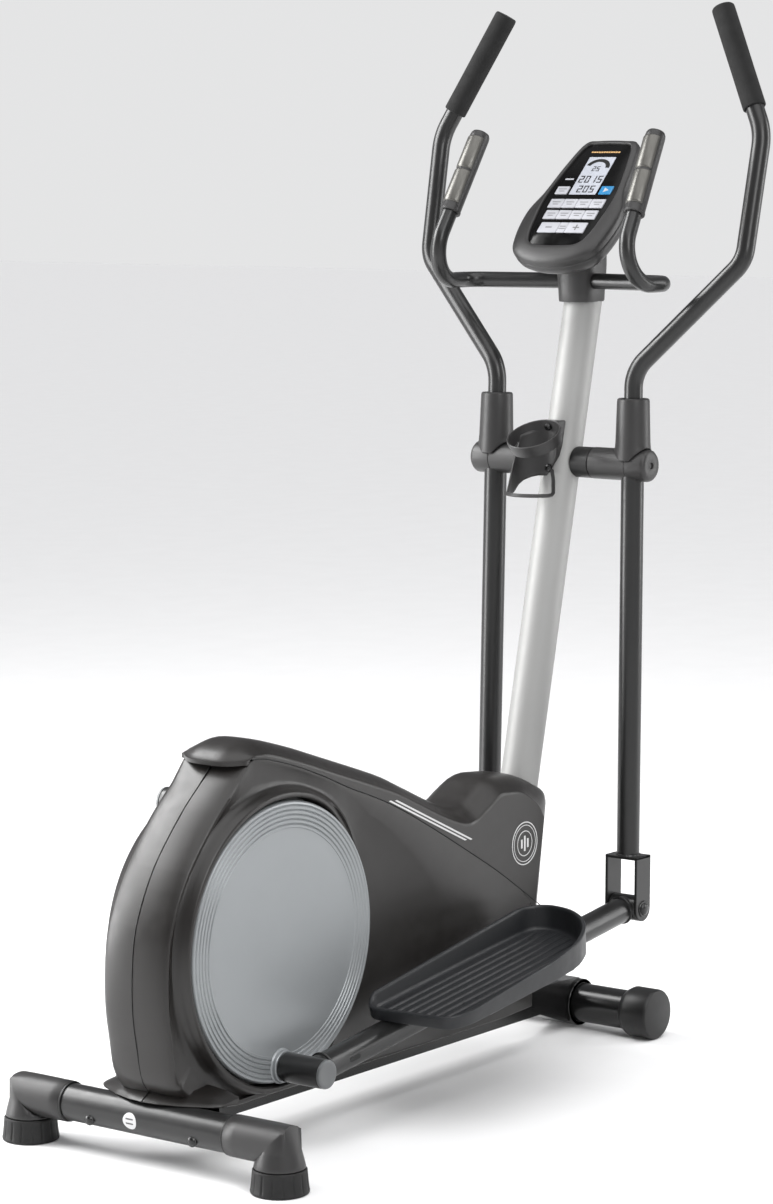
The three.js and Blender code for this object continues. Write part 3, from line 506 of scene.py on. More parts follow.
# Around the crank axis, in degrees up from straight ahead: how far the face in front of the disc is dished,
# how far the dish reaches, and how much of the edge is rounded off (inwards, and back from the face).
DISH = [(-140, 0), (-105, 0), (-70, 0.35), (-40, 1), (18, 1), (45, 0.6), (72, 0.12), (96, 0), (250, 0)]
DISH_REACH = [(-60, 330), (-31, 431), (-22.5, 415), (-14, 413), (-5.5, 403), (0, 394), (6.6, 371),
              (18.2, 317), (34.6, 265), (54, 246), (72, 246), (96, 264)]
ROUND_IN = [(-142, 9), (-126, 8), (-20, 8), (-8, 22), (-5.8, 20), (-5.2, 1.2), (101, 1.2), (103, 3),
            (112, 9), (230, 9)]
ROUND_BACK = [(-142, 55), (-126, 9), (-20, 9), (-8, 30), (-5.8, 30), (-5.2, 1.2), (101, 1.2), (103, 20),
              (107, 55), (230, 55)]
EDGE_CREST = [(-126, 1), (95, 1), (112, 0), (234, 0)]


def shield_section(turn, edge, centre):
    """(distance from the crank axis, |Y|) pairs from the well's floor over the face to the centre plane."""
    dish = ramp(turn, DISH)
    dish *= dish * (3 - 2 * dish)
    inward, back = ramp(turn, ROUND_IN), ramp(turn, ROUND_BACK)
    lip = LIP_FULL + (LIP_DISHED - LIP_FULL) * dish
    crest = 57.5 + 2.5 * ramp(turn, EDGE_CREST)
    limit = edge - inward
    bowl = min(ramp(turn, DISH_REACH), limit - 2) if dish else limit - 2

    def mix(rear, front):
        return rear + (front - rear) * dish

    stations = [(r, WELL_FLOOR) for r in (40, 110, 180, WELL_RADIUS - 0.3)]
    stations += [(WELL_RADIUS, WELL_FLOOR + 0.6), (WELL_RADIUS, lip - 2), (207.6, lip - 0.5), (209, lip),
                 (212.2, lip), (213.8, lip - 0.7), (215.4, lip - mix(2.6, 0)), (218, mix(64, lip)),
                 (221, mix(57.5, lip + 0.3)), (225, mix(54.5, lip + 0.8))]
    stations = [(min(r, limit - 7.2 + 0.3 * i), h) for i, (r, h) in enumerate(stations)]
    start = stations[-1][0]
    for t in (0.25, 0.5, 0.75, 0.9, 1):
        rear = 54.5 + (crest - 54.5) * t ** 2
        front = lip + 0.8 + (LID_SIDE - lip - 0.8) * t ** 1.6
        stations.append((start + (bowl - start) * t, mix(rear, front)))
    stations.append((limit, crest))
    for k in range(1, 7):
        bend = pi / 2 * k / 6
        stations.append((limit + inward * sin(bend), crest - back * (1 - cos(bend))))
    stations += [(edge + (centre - edge) * t, (crest - back) * (1 - t) + 0.6 * t) for t in (0.5, 1)]
    return stations + [(centre - 2.5, 0.6)]


def side_shield():
    outlines = [side_outline(front) for front in (FACE_FRONT, CENTRE_FRONT)]
    corners = [degrees(atan2(z - CRANK_Z, x)) for x, z in outlines[0] + outlines[1]]
    angles = sorted({round(corner, 2) for corner in corners} | set(np.arange(-180, 180, 1.5)))
    angles = [radians(a) for a, b in zip(angles, angles[1:] + [999]) if b - a > 0.25]
    rings = []
    for angle, edge, centre in zip(angles, reach(outlines[0], angles), reach(outlines[1], angles)):
        turn = degrees(angle)
        section = shield_section(turn + 360 if turn < -142 else turn, edge, centre)
        rings.append([(r * cos(angle), h, CRANK_Z + r * sin(angle)) for r, h in section])
    return loft(rings, caps=False, closed=False, around=True)


def lid_foot(x):
    return ramp(x, SEAM[::-1])


def top_shield():
    """Crowned lid with a visor at its rear, as sections from side to side."""
    lines = spline([(*r, *s) for r, s in zip(RIDGE, SHOULDER)])
    half = [(60, 1, 8), (59.9, 1, 5), (59.2, 1, 2.6), (57.6, 1, 0.9), (55, 0.95, 0.2), (50, 0.72, 0),
            (42, 0.42, 0), (34, 0.2, 0), (26, 0.07, 0), (18, 0.015, 0), (8, 0, 0)]
    under = [(x, z + 0.9) for x, z in SEAM[1:-1][::-1]]
    rings = []
    for y, side, lower in [(-y, s, d) for y, s, d in half] + half[::-1]:
        top = [(r[0] + (r[2] - r[0]) * side, r[1] + (r[3] - r[1]) * side) for r in lines]
        top = [(x, z - min(lower, 0.5 * (z - max(lid_foot(x), z - 40)))) for x, z in top]
        tip = [(-84 + 19 * side, 547 + 2 * side), (-62 + 4 * side, 555 + 2 * side)]
        rings.append([(x, y, z) for x, z in tip + under + [(top[0][0] - 24, 224)] + top])
    return loft(rings)


for side in SIDES:
    sided(side)("shroud_side", side_shield(), "shroud", "side_shield", sharp=40, solidify=2.4, offset=-1)
put("shroud_top", top_shield(), "shroud", nodes=["top_shield"], sharp=38)
seam_line = [(x, LID_SIDE, z + 0.4) for x, z in spline(SEAM, 3)]
for side in SIDES:
    sided(side)("shroud_seam", sweep(seam_line, circle(0.75, 8)), "ink")
rear_line = [(x - 0.2, 0, z) for x, z in spline([(-70, 548)] + REAR_WALL + [(-205, 100)], 3)]
put("shroud_rear_seam", sweep(rear_line, circle(0.9, 8)), "ink")


def skirt():
    """Flange at the foot of the shroud, over the rear stabilizer."""
    foot, half, front = 92.6, 110, -150
    rings = []
    for y in np.linspace(-half, half, 45):
        rear = ramp(abs(y), [(0, -228), (26, -225), (60, -215), (98, -196), (108, -187), (half, -184)])
        height = 15 * (1 - (abs(y) / (half + 2)) ** 2) ** 0.5
        rings.append([(rear, y, foot), (rear - 0.6, y, 93.6), (rear + 0.4, y, 95),
                      (rear + 8, y, 96 + height * 0.25), (rear + 20, y, 96 + height * 0.7),
                      (rear + 30, y, 96 + height), (front, y, 97 + height), (front, y, foot)])
    return loft(rings)


put("shroud_skirt", skirt(), "shroud", sharp=50)
put("skirt_seam", sweep([(-229, 0, 94), (-221, 0, 99.6), (-209, 0, 106.2), (-199, 0, 111)], circle(0.8, 8)),
    "ink")

# Plain round badges and stripes stand where printed marks would be.
BADGE = (611, 334)
STRIPE_FOOT, STRIPE_RUN = (262, 451), (0.908, -0.419)


def flat_ring(outer, inner):
    low, high = LID_SIDE - 0.4, LID_SIDE + 0.5
    return revolve([(inner, low), (inner, high), (outer, high), (outer, low)], at=(BADGE[0], 0, BADGE[1]))


def badge_bar(shift, half):
    x, z = BADGE[0] + shift, BADGE[1]
    return block((x - 2, LID_SIDE, z - half), (x + 2, LID_SIDE + 0.5, z + half))


def stripe(start, end, low, high):
    (x, z), (run, drop) = STRIPE_FOOT, STRIPE_RUN
    corners = [(start, low), (end, low), (end + 4, high), (start + 4, high)]
    corners = [(x + run * u - drop * v, z + drop * u + run * v) for u, v in corners]
    return prism(corners, LID_SIDE, LID_SIDE + 0.5)


for side in SIDES:
    place = sided(side)
    place("badge", join(flat_ring(34, 32.4), flat_ring(29, 28), flat_ring(20, 18.8), badge_bar(-8, 7),
                        badge_bar(0, 12), badge_bar(8, 7)), "mark")
    place("lid_stripe", join(stripe(0, 210, 0, 2.6), stripe(14, 224, 5, 7.6)), "mark")

saddle = [(31.8, -33), (36.6, -33), (37.6, -32), (37.6, 32), (36.6, 33), (31.8, 33)]
put("front_saddle", revolve(saddle, at=FRONT_AXIS, n=72), "black_steel")


def on_rear_tube(shape):
    """Bends a flat shape, drawn just behind the rear tube, round the tube."""
    bend = REAR_RADIUS
    return [(x + bend - sqrt(bend ** 2 - (z - REAR[1]) ** 2), y, z) for x, y, z in shape[0]], shape[1]


BEHIND_TUBE = REAR[0] - REAR_RADIUS
STICKER = [(0, 0.5), (3, 0.5), (6, 0.5), (9, 0.5), (12, 0.4), (12.3, -0.3)]
sticker = facing_rear(STICKER, BEHIND_TUBE + 0.1, 18, 64, 40)
put("rear_sticker", on_rear_tube(sticker), "mark")
marks = [block((BEHIND_TUBE - 0.7, 11.5, z), (BEHIND_TUBE, 24.5, z + 2.2)) for z in (59.6, 66.2)]
put("rear_sticker_mark", on_rear_tube(join(*marks)), "print")


# ---- crank discs ----
def crank_disc():
    """Silver disc with five raised rings near its rim, and a hub behind it."""
    outline = [(0, 71.6), (150, 71.6), (160, 71.9)]
    for k in range(5):
        r = 163 + 6.6 * k
        outline += [(r, 72.2), (r + 0.8, 73.0), (r + 4.2, 73.2), (r + 5.0, 72.2), (r + 5.5, 71.4)]
    outline += [(197, 72.8), (199.6, 72.2), (201.4, 70.4), (202, 68), (202, 63), (201, 61.2), (190, 61),
                (24, 61), (24, 45), (0, 45)]
    return revolve(outline, n=128)


BOSS = [(0, 70), (26, 70), (25.6, 73.2), (23.6, 75), (23, 79.4), (22, 80.4), (0, 80.4)]
for side in SIDES:
    pin_x, pin_z = PINS[side]
    place = sided(side, "crank")
    place("crank_face", crank_disc(), "disc", "crank_disc", matrix=Matrix.Translation((0, 0, CRANK_Z)))
    place("crank_boss", revolve(BOSS, n=48), "disc", matrix=Matrix.Translation((pin_x, 0, pin_z)))


# ---- pedal arms and pedals, in the arm frame ----
def offset_loop(loop, distance):
    """Loop of points moved inwards across its own direction, in the plane of its first two coordinates."""
    loop = np.array(loop, float)[:, :2]
    run = np.roll(loop, -1, axis=0) - np.roll(loop, 1, axis=0)
    run /= np.linalg.norm(run, axis=1)[:, None]
    area = np.sum(loop[:, 0] * np.roll(loop[:, 1], -1) - loop[:, 1] * np.roll(loop[:, 0], -1))
    inward = np.stack([-run[:, 1], run[:, 0]], axis=1) * (1 if area > 0 else -1)
    return loop + inward * distance


def stacked(loop, levels):
    """Solid whose sections are the loop moved inwards by each level's inset, at that level's height."""
    return loft([[(x, y, z) for x, y in offset_loop(loop, inset)] for inset, z in levels])


TREAD = rounded([(163, 110), (184, 93), (578, 92), (606, 122), (600, 170), (576, 208), (541, 239), (492, 260),
                 (432, 266), (206, 262), (172, 248)], 20)
RIM_CEILING = 66
TRAY_FLOOR = 28


def tread_rim(x, y):
    """Height of the tray's rim, which rises towards the front and the outer side."""
    outer = ramp(x, [(160, 40), (220, 42), (420, 53), (560, RIM_CEILING), (620, 68)])
    inner = ramp(x, [(160, 40), (176, 42), (214, 60), (250, RIM_CEILING), (620, 68)])
    t = min(1, max(0, (y - 112) / 110))
    return min(RIM_CEILING, inner + (outer - inner) * t * t * (3 - 2 * t))


def pedal_tray():
    """Tray as rings of (inset, height, whether the height counts from the rim)."""
    rim = [tread_rim(*p) for p in TREAD]
    rings = []
    levels = ((7, 20.6, 0), (3.5, 20.8, 0), (2, 23, 0), (0.4, -5, 1), (0, -2, 1), (0.8, -0.5, 1), (2.4, 0, 1),
              (4.6, -0.3, 1), (6, -1.6, 1), (6.8, -5, 1), (9, 35, 0), (10, 31, 0), (12, 29, 0), (15, 28.6, 0))
    for inset, height, from_rim in levels:
        rings.append([(x, y, top + height if from_rim else min(height, top - 8))
                      for (x, y), top in zip(offset_loop(TREAD, inset), rim)])
    return loft(rings)


def pedal_ribs():
    """Tread ribs along the tray, each as long as the floor is wide at its place."""
    inside = offset_loop(TREAD, 22)
    section = ((-4.4, 0), (-3.2, 2.6), (-2, 3.4), (2, 3.4), (3.2, 2.6), (4.4, 0))
    shapes = []
    for y in np.arange(121, 245, 16.5):
        crossings = []
        for (x0, y0), (x1, y1) in zip(inside, np.roll(inside, -1, axis=0)):
            if (y0 - y) * (y1 - y) < 0:
                crossings.append(x0 + (x1 - x0) * (y - y0) / (y1 - y0))
        low, high = min(crossings) + 6, max(crossings)
        stations = ((low - 5, 0.1), (low, 0.85), (low + 4, 1), (high - 4, 1), (high, 0.85), (high + 5, 0.1))
        shapes.append(loft([[(x, y + v, TRAY_FLOOR + h * k) for v, h in section] for x, k in stations]))
    return join(*shapes)


def weld_bead(radius, along, thick, length, scales, wave, axis):
    """Bead round a tube, with welding scales as a ripple."""
    bead = [(radius + thick * cos(a), along + length * sin(a)) for a in np.linspace(0, 2 * pi, 9)]
    return revolve(bead, axis, (0, TRACK, 0), 60, lambda turn, r, h: wave * sin(scales * turn))


ARM_TUBE_RADIUS, ARM_TUBE_WALL = 20, 2.5


def arm_tube():
    inner, radius, start, end = ARM_TUBE_RADIUS - ARM_TUBE_WALL, ARM_TUBE_RADIUS, 8, ARM - 8
    return revolve([(inner, start), (radius - 0.6, start), (radius, start + 0.8), (radius, end - 0.8),
                    (radius - 0.6, end), (inner, end)], "X", (0, TRACK, 0), 48)


ARM_SLEEVE = [(10, 81), (18.8, 81), (20.6, 82), (21.3, 84), (21.3, 149), (20.8, 151), (19, 152), (10, 152)]
SLEEVE_CAP = [(0, 156.4), (13, 156.6), (15.5, 157), (18.8, 157), (20.4, 156.2), (21, 154.6), (21, 152.4),
              (9, 152.4), (9, 81), (0, 81)]
BUSHING = [(7, -24.4), (18.6, -24.4), (20, -23), (20, 23), (18.6, 24.4), (7, 24.4)]
# Profile of a small near-black disc that paints the shade inside the tray's drain hole.
DRAIN_SHADE_DISC = [(0, 28.2), (2.4, 28.4), (3, 29.4), (4.2, 29.2), (4.6, 28)]

for side in SIDES:
    place = sided(side, f"arm_{side}", ARM_FRAME[side])
    place("arm_tube", arm_tube(), "dark_steel", "pedal_arm")
    place("arm_sleeve", revolve(ARM_SLEEVE, n=56), "dark_steel")
    for weld_name, x in (("rear", 20.5), ("front", ARM - 20.4)):
        place(f"arm_weld_{weld_name}", weld_bead(20.4, x, 2.2, 2.2, 30, 0.35, "X"), "dark_steel")
    place("sleeve_cap", revolve(SLEEVE_CAP, n=56), "cap", "crank_pin")
    place("arm_bushing", revolve(BUSHING, at=(ARM, TRACK, 0), n=56), "dark_steel")
    for k, x in enumerate((285, 470)):
        place(f"pedal_bracket_{k}", prism([(x, 6), (x + 36, 6), (x + 36, 20.2), (x, 20.2)], TRACK, 236),
              "dark_steel", bevel=1.5)
    # Painted shade: a near-black patch on the arm's outer face stands for the shaded inside of a slot; no
    # hole is cut.
    place("arm_slot", prism(rounded_box((60, -3.5), (84, 3.5), 3.4, 5), TRACK + 19, TRACK + 20.2), "ink")
    place("pedal_tray", pedal_tray(), "pedal", "pedal", sharp=50)
    place("pedal_ribs", pedal_ribs(), "pedal", sharp=50)
    # Painted shade: a dark disc on the tray floor stands for the shaded inside of the drain hole; the tray is
    # not cut through.
    place("pedal_drain", revolve(DRAIN_SHADE_DISC, "Z", (262, 204, 0.4), 24), "ink")


# ---- levers and handles, in the lever frame ----
GRIP_TOP = Vector((118.3, 210.2, 709.8))
GRIP_BEND = Vector((81, 308.5, 515))
GRIP_LENGTH = 178
FORK_TOP = 84.3 - LEVER


def along_grip(distance):
    return GRIP_TOP + (GRIP_BEND - GRIP_TOP).normalized() * distance


def fork():
    """U of plate: two round-ended cheeks and the crosspiece between them."""
    cheek = arc(0, -LEVER, 20, -pi, 0, 16) + [(20, FORK_TOP), (-20, FORK_TOP)]
    return [prism(cheek, TRACK - 30, TRACK - 25), prism(cheek, TRACK + 25, TRACK + 30),
            block((-20, TRACK - 30, FORK_TOP - 5), (20, TRACK + 30, FORK_TOP))]


def saddle_sleeve():
    """Tapered sleeve whose lower edge sits like a saddle on the pivot tube. Its rings are (radius, height,
    how far the ring follows the saddle)."""
    count, seat_radius, edge_radius = 56, 26.4, 27.8
    levels = ((16, 30, 0), (27.8, 1, 1), (28.8, 2.4, 1), (28.8, 7, 0.8), (28.2, 22, 0.2), (27.4, 36, 0),
              (26.2, 80, 0), (25.6, 99, 0), (25, 102.4, 0), (23.2, 104, 0), (18, 104, 0), (17, 102.6, 0),
              (15.4, 100, 0))
    rings = []
    for radius, height, follow in levels:
        ring = []
        for k in range(count):
            a = 2 * pi * k / count
            saddle = sqrt(max(0, seat_radius ** 2 - (edge_radius * cos(a)) ** 2))
            drop = hypot(saddle - 1, 6) * follow
            ring.append((radius * cos(a), TRACK + radius * sin(a), height + drop))
        rings.append(ring)
    return loft(rings, around=True)


LEVER_CROSS = [(10, 60.3), (23.4, 60.3), (24.9, 61.8), (24.9, TRACK - 2), (24.3, TRACK - 1.4),
               (10, TRACK - 1.4)]
LEVER_TUBE = [(16, FORK_TOP), (18, FORK_TOP), (18, -6), (16, -6)]
FORK_BOLT = [(0, 95), (7.6, 95), (8.8, 96), (9, 100.6), (6, 100.6), (6, 161.4), (10, 161.4), (10, 163),
             (8.4, 165.6), (5.6, 167), (0, 167.4)]
WASHER = [(6, 161), (13, 161), (13.4, 161.8), (12.6, 162.8), (6, 162.8)]
PIVOT_COVER = [(22, TRACK - 1.2), (24.5, TRACK - 1.2), (25.2, TRACK - 0.6), (25.4, 159), (24.4, 162.6),
               (21.8, 165.3), (18, 166.4), (7, 166.4), (5.4, 165.8), (4.8, 163.4), (0, 163.4)]
FOAM = [(14.6, 0.4), (17.2, 0), (18.2, 1.2), (18.3, 5), (18.15, 60), (18.3, 120), (18.3, 172), (17.9, 175.4),
        (16.4, 177.2), (14.2, 177.4), (14.2, 175)]
GRIP_PLUG = [(0, 178), (8, 177.9), (12.4, 177.2), (13.6, 175.4), (13.6, 172)]
SPACER = [(10.2, 28), (24.4, 28), (24.4, 58.4), (23.4, 59.4), (10.2, 59.4)]
HANDLE_PATH = bent([(0, TRACK, 60), (0, TRACK, 146), (43, 302, 319), GRIP_BEND, along_grip(6)], [62, 52, 90],
                   radians(4))

for side in SIDES:
    lever = LEVER_FRAME[side]
    place = sided(side, f"lever_{side}", lever)
    place("lever_cross", revolve(LEVER_CROSS), "plastic", "lever")
    place("lever_tube", revolve(LEVER_TUBE, "Z", (0, TRACK, 0), 48), "dark_steel")
    for k, plate in enumerate(fork()):
        place(f"fork_plate_{k}", plate, "dark_steel", bevel=1.4)
    place("fork_weld", weld_bead(18, FORK_TOP, 2.4, 2.2, 26, 0.4, "Z"), "dark_steel")
    bolt, washer = (revolve(profile, at=(0, 0, -LEVER), n=40) for profile in (FORK_BOLT, WASHER))
    place("fork_bolt_head", bolt, "dark_steel", "fork_bolt", slot="steel")
    place("fork_washer", washer, "black_steel", slot="steel")
    place("pivot_cover", revolve(PIVOT_COVER), "plastic", "pivot_cap")
    place("grip_sleeve", saddle_sleeve(), "plastic", "handle_sleeve")
    place("handle_tube", sweep(HANDLE_PATH, circle(14.5, 32)), "dark_steel", "handle")
    to_side = Vector((1, SIDES[side], 1))
    grip_frame = lever @ axis_frame(along_grip(GRIP_LENGTH) * to_side, along_grip(0) * to_side)
    grip = place("foam_grip_sleeve", revolve(FOAM, "Z", n=48), "foam", "foam_grip", matrix=grip_frame)
    place("grip_plug", revolve(GRIP_PLUG, "Z", n=40), "black_plastic", matrix=grip_frame)
    sided(side)("pivot_spacer", revolve(SPACER, at=(PIVOT[0], 0, PIVOT[1])), "black_plastic",
                "pivot_tube", slot="black_steel")


# ---- mast, stabilizers and feet ----
MAST_TUBE = [(27.6, 60), (29.4, 60), (30, 60.8), (30, 1111.6), (29.4, MAST_LENGTH - 0.1),
             (27.6, MAST_LENGTH - 0.1)]


def tube_across(radius, wall, half, axis):
    inner = radius - wall
    return revolve([(inner, -half), (radius, -half), (radius, half), (inner, half)], at=axis)


put("mast_tube", revolve(MAST_TUBE, "Z", n=96), "silver_paint", nodes=["mast"], matrix=MAST_FRAME)
put("rear_tube", tube_across(REAR_RADIUS, 2.5, 199, REAR_AXIS), "dark_steel", nodes=["rear_stabilizer"])
put("front_tube", tube_across(31, 3, 162, FRONT_AXIS), "black_steel", nodes=["front_stabilizer"])


def elbow():
    """Sleeve along the tube, mitred into a leg over the foot, with its outer corner cut to a slope."""
    turn = np.linspace(0, 2 * pi, 97)[:-1]
    x, z0 = REAR
    radius, mitre = 29.5, 198.6
    rings = [[(x + r * cos(t), y, z0 + r * sin(t)) for t in turn]
             for y, r in ((150, 28.4), (150.8, 29.3), (170, 29.4), (190, radius), (mitre, radius))]
    for share in (0.5, 0.9, 1.0):
        rings.append([(x + radius * cos(t), mitre + (FOOT_Y - mitre + radius * sin(t)) * share,
                       z0 + radius * sin(t)) for t in turn])
    for z, r in ((60, 30), (56, 31), (50, 32.6), (42, 34.6), (37, 35.8), (35.4, 35.8), (34, 34.6)):
        above = z > 36.5
        rings.append([(x + r * cos(t), FOOT_Y + r * sin(t),
                       min(z0 + radius * sin(t), z) if sin(t) < 0 and above else z) for t in turn])
    slope, corner = Vector((0, 76, 25)).normalized(), Vector((x, 244.6, 106))
    rings = [[Vector(point) for point in ring] for ring in rings]
    for ring in rings:
        for point in ring:
            point -= slope * max(0, (point - corner).dot(slope))
    return loft(rings)


def rib_wave(angle, radius, height):
    return -1.1 * max(0, cos(16 * angle) - 0.8) * 5 if 4 < height < 31 else 0


COLLAR = [(REAR_RADIUS, 146.6), (28.2, 146.8), (28.8, 147.6), (28.8, 149.6), (28, 150.2)]
FOOT = [(0, 0), (38, 0), (40.4, 0.8), (40.9, 2.4), (40.8, 4.4), (40.4, 5.2), (39.6, 12), (38.8, 20),
        (38, 29.4), (37.9, 31), (37.9, 32), (36.8, 33.6), (0, 33.6)]
FRONT_CAP = [(31.4, 124), (33.4, 124), (34.2, 124.6), (39.2, 133.4), (40, 135.6), (40, 172.5), (39.4, 175.6),
             (37.8, 177.6), (35.2, 178.4), (0, 178.6)]
BOLT_HEAD = [(0, 4.6), (3.4, 4.4), (5.6, 3.2), (6.6, 1.4), (8.4, 1.2), (8.6, -1.2)]

for side in SIDES:
    place = sided(side)
    place("rear_elbow", elbow(), "plastic", "rear_end_cap", sharp=60)
    place("rear_collar", revolve(COLLAR, at=REAR_AXIS), "black_plastic", slot="plastic")
    foot = revolve(FOOT, "Z", (REAR[0], FOOT_Y, 0), 180, rib_wave)
    sided(side, f"foot_{side}")("foot_pad", foot, "rubber", "levelling_foot", sharp=50)
    place("front_cap", revolve(FRONT_CAP, at=FRONT_AXIS, n=72), "black_plastic", "front_end_cap")
    place("rear_bolt", facing_rear(BOLT_HEAD, REAR[0] - 24.4, 94, 54), "black_steel", slot="steel")


# ---- console, in the face frame: x up the face, z out of it ----
def mirrored_loop(half):
    return spline(half + [(x, -y) for x, y in half[::-1]], 8, closed=True)


OVERLAY = mirrored_loop([(213, 24), (207, 42), (168, 53), (98, 64.5), (41, 61), (6, 54), (-9, 42),
                         (-12.7, 18)])
FACE = mirrored_loop([(224, 24), (217, 50), (168, 65), (112, 75), (66, 89), (12, 86), (-25, 71), (-44, 28)])


def console_bezel():
    """Rings of (share of the way from the overlay's edge to the face's edge, inset, height)."""
    levels = ((0, 0.4, -4), (0, -0.4, 1.4), (0, -1.0, 2.6), (0, -2.2, 3.2), (0.25, 0, 3.0), (0.5, 0, 2.2),
              (0.75, 0, 0.6), (0.92, 0, -1.6), (1, 0.8, -4), (1, 0, -7), (1, 0, -13.4), (1, 1.0, -14.2))
    rings = []
    for share, inset, z in levels:
        between = offset_loop([a + (b - a) * share for a, b in zip(OVERLAY, FACE)], inset)
        rings.append([(x, y, z) for x, y in between])
    return loft(rings, around=True)


def console_back():
    levels = ((1.4, -14.2), (0.4, -15), (0.2, -20), (2, -28), (7, -36), (15, -42), (26, -45.4), (40, -46))
    return loft([[(min(x, 214), y, z) for x, y in offset_loop(FACE, inset)] for inset, z in levels])


def face_piece(name, shape, look, *nodes, **options):
    return put(name, shape, look, nodes=nodes, matrix=FACE_FRAME, **options)


face_piece("console_front", console_bezel(), "plastic", "console_bezel", sharp=50)
face_piece("console_shell", console_back(), "plastic", "console_back", sharp=50)
film = stacked(OVERLAY, ((0.4, -1), (0.4, 0.3), (1.2, 0.6)))
face_piece("console_film", film, "overlay", "console_overlay")

# Display: pale window with a gauge arc, a short dash and three rows of plain digits.
window = prism(rounded_box((100, -25.6), (184, 24.8), 1.5), 0.2, 1.0, "Z")
face_piece("lcd_window", window, "lcd", "lcd_module")
SEGMENTS = {"0": "abcdef", "1": "bc", "2": "abged", "3": "abgcd", "5": "afgcd"}


def digit(figure, x, y, height):
    """Seven-segment digit with its foot at (x, y); the reader's right is towards -y."""
    half, top, right, stroke = height / 2, x + height, y - height * 0.56, height * 0.17
    bars = {"a": (top - stroke, right, top, y), "d": (x, right, x + stroke, y),
            "g": (x + half - stroke / 2, right, x + half + stroke / 2, y),
            "b": (x + half, right, top, right + stroke), "c": (x, right, x + half, right + stroke),
            "f": (x + half, y - stroke, top, y), "e": (x, y - stroke, x + half, y)}
    gap = stroke * 0.16
    return [block((a + gap, b + gap, 1.0), (c - gap, d - gap, 1.25))
            for a, b, c, d in (bars[segment] for segment in SEGMENTS[figure])]


def gauge():
    """Flat arch, as an outer and an inner curve."""
    turns = np.linspace(0.3, pi, 25)
    curve = [(23, a) for a in turns] + [(15.5, a) for a in turns[::-1]]
    return prism([(160 + r * sin(a) * 0.85, r * cos(a)) for r, a in curve], 1.0, 1.2, "Z")


figures = []
for row_x, height, text, left in ((152, 11, "25", 7.5), (126, 16, "2015", 21), (104, 16, "205", 14)):
    for k, figure in enumerate(text):
        figures += digit(figure, row_x, left - k * (height * 0.72), height)
face_piece("lcd_figures", join(*figures, gauge()), "ink", slot="lcd")

KEYS = {"key_minus": ("white_key", (15, 8), (37, 44)), "key_plus": ("white_key", (15, -44), (37, -8)),
        "program_keys_lower": ("white_key", (45, -51), (64, 48)),
        "program_keys_upper": ("white_key", (70, -53), (89, 51)),
        "key_select": ("white_key", (100, 29), (117, 52)), "key_start": ("blue_key", (100, -54), (118, -31))}
KEY_TOP = 2.2


def key_spans(key_name, low, high):
    """Places of the key tops across the face: four with thin gaps for a strip of program keys, else one."""
    if not key_name.startswith("program"):
        return [(low, high)]
    step = (high - low) / 4
    return [(low + k * step + 0.35 * (k > 0), low + (k + 1) * step - 0.35 * (k < 3)) for k in range(4)]


def key_legend(key_name, x, y):
    """Strokes that stand for the legend of a key whose middle is (x, y)."""
    def stroke(up, across, top=2.35, shift=0):
        return block((x + shift - up, y - across, KEY_TOP), (x + shift + up, y + across, top))

    if key_name == "key_minus":
        return [stroke(1.1, 6)]
    if key_name == "key_plus":
        return [stroke(1.1, 6), stroke(6, 1.1, 2.36)]
    if key_name == "key_start":
        return [prism([(x - 5, y + 4), (x + 5, y + 4), (x, y - 5)], KEY_TOP, 2.35, "Z")]
    return [stroke(0.7, 7.5, shift=2.4), stroke(0.7, 5, shift=-2.4)]


for key_name, (look, low, high) in KEYS.items():
    tops, legends = [], []
    for start, end in key_spans(key_name, low[1], high[1]):
        outline = rounded_box((low[0], start), (high[0], end), 1.4)
        tops.append(stacked(outline, ((0, -1.6), (0, 1.4), (0.3, 2.0), (1.0, KEY_TOP))))
        legends += key_legend(key_name, (low[0] + high[0]) / 2, (start + end) / 2)
    face_piece(f"{key_name}_top", join(*tops), look, key_name, body=key_name)
    legend_look = "white_key" if key_name == "key_start" else "print"
    face_piece(f"{key_name}_mark", join(*legends), legend_look, body=key_name)
face_piece("console_dash", block((133, 32, 0.6), (136, 48, 0.75)), "white_key")
bars = [block((194, y, 0.6), (197, y + 3.6, 0.75)) for y in np.arange(-27, 27, 4.6)]
face_piece("console_bar", join(*bars), "gilt")
key_bar = stacked(rounded_box((15, -7.4), (37, 7.4), 1.4), ((0.2, 0.5), (0, 1.3), (0.3, 1.9), (1.0, 2.1)))
face_piece("key_bar_middle", key_bar, "white_key")
face_piece("key_bar_mark", join(block((27.6, -5.5, 2.1), (29, 5.5, 2.25)),
                                block((22.8, -6.4, 2.1), (24.2, 6.4, 2.25))), "print")


# ---- neck under the console, pulse bar and its grips ----
def neck():
    """Rounded column whose top is cut along the back of the console."""
    loop = rounded_box((812, -34), (892, 34), 33, 10)
    normal = FACE_FRAME.to_3x3() @ Vector((0, 0, 1))
    origin = FACE_FRAME @ Vector((0, 0, -44))
    rings = [[(x, y, z) for x, y in offset_loop(loop, inset)]
             for inset, z in ((8, 1163), (4.4, 1163.4), (3.4, 1165.5), (2.6, 1180), (0.4, 1212), (0, 1222))]
    return loft(rings + [[(x, y, origin.z - normal.x * (x - origin.x) / normal.z) for x, y in loop]])


put("neck_housing", neck(), "plastic", nodes=["console_neck"], sharp=50)

PULSE_TOP, PULSE_FOOT = Vector((809.4, 166.1, 1426.4)), Vector((736.1, 173.9, 1303.8))
PULSE_SLEEVE = [(12.6, 0), (15.6, 0), (16.8, 1), (16.8, 4), (16, 5.6), (16, 136), (15.4, 140.6), (13.6, 144),
                (10, 145.8), (0, 146)]


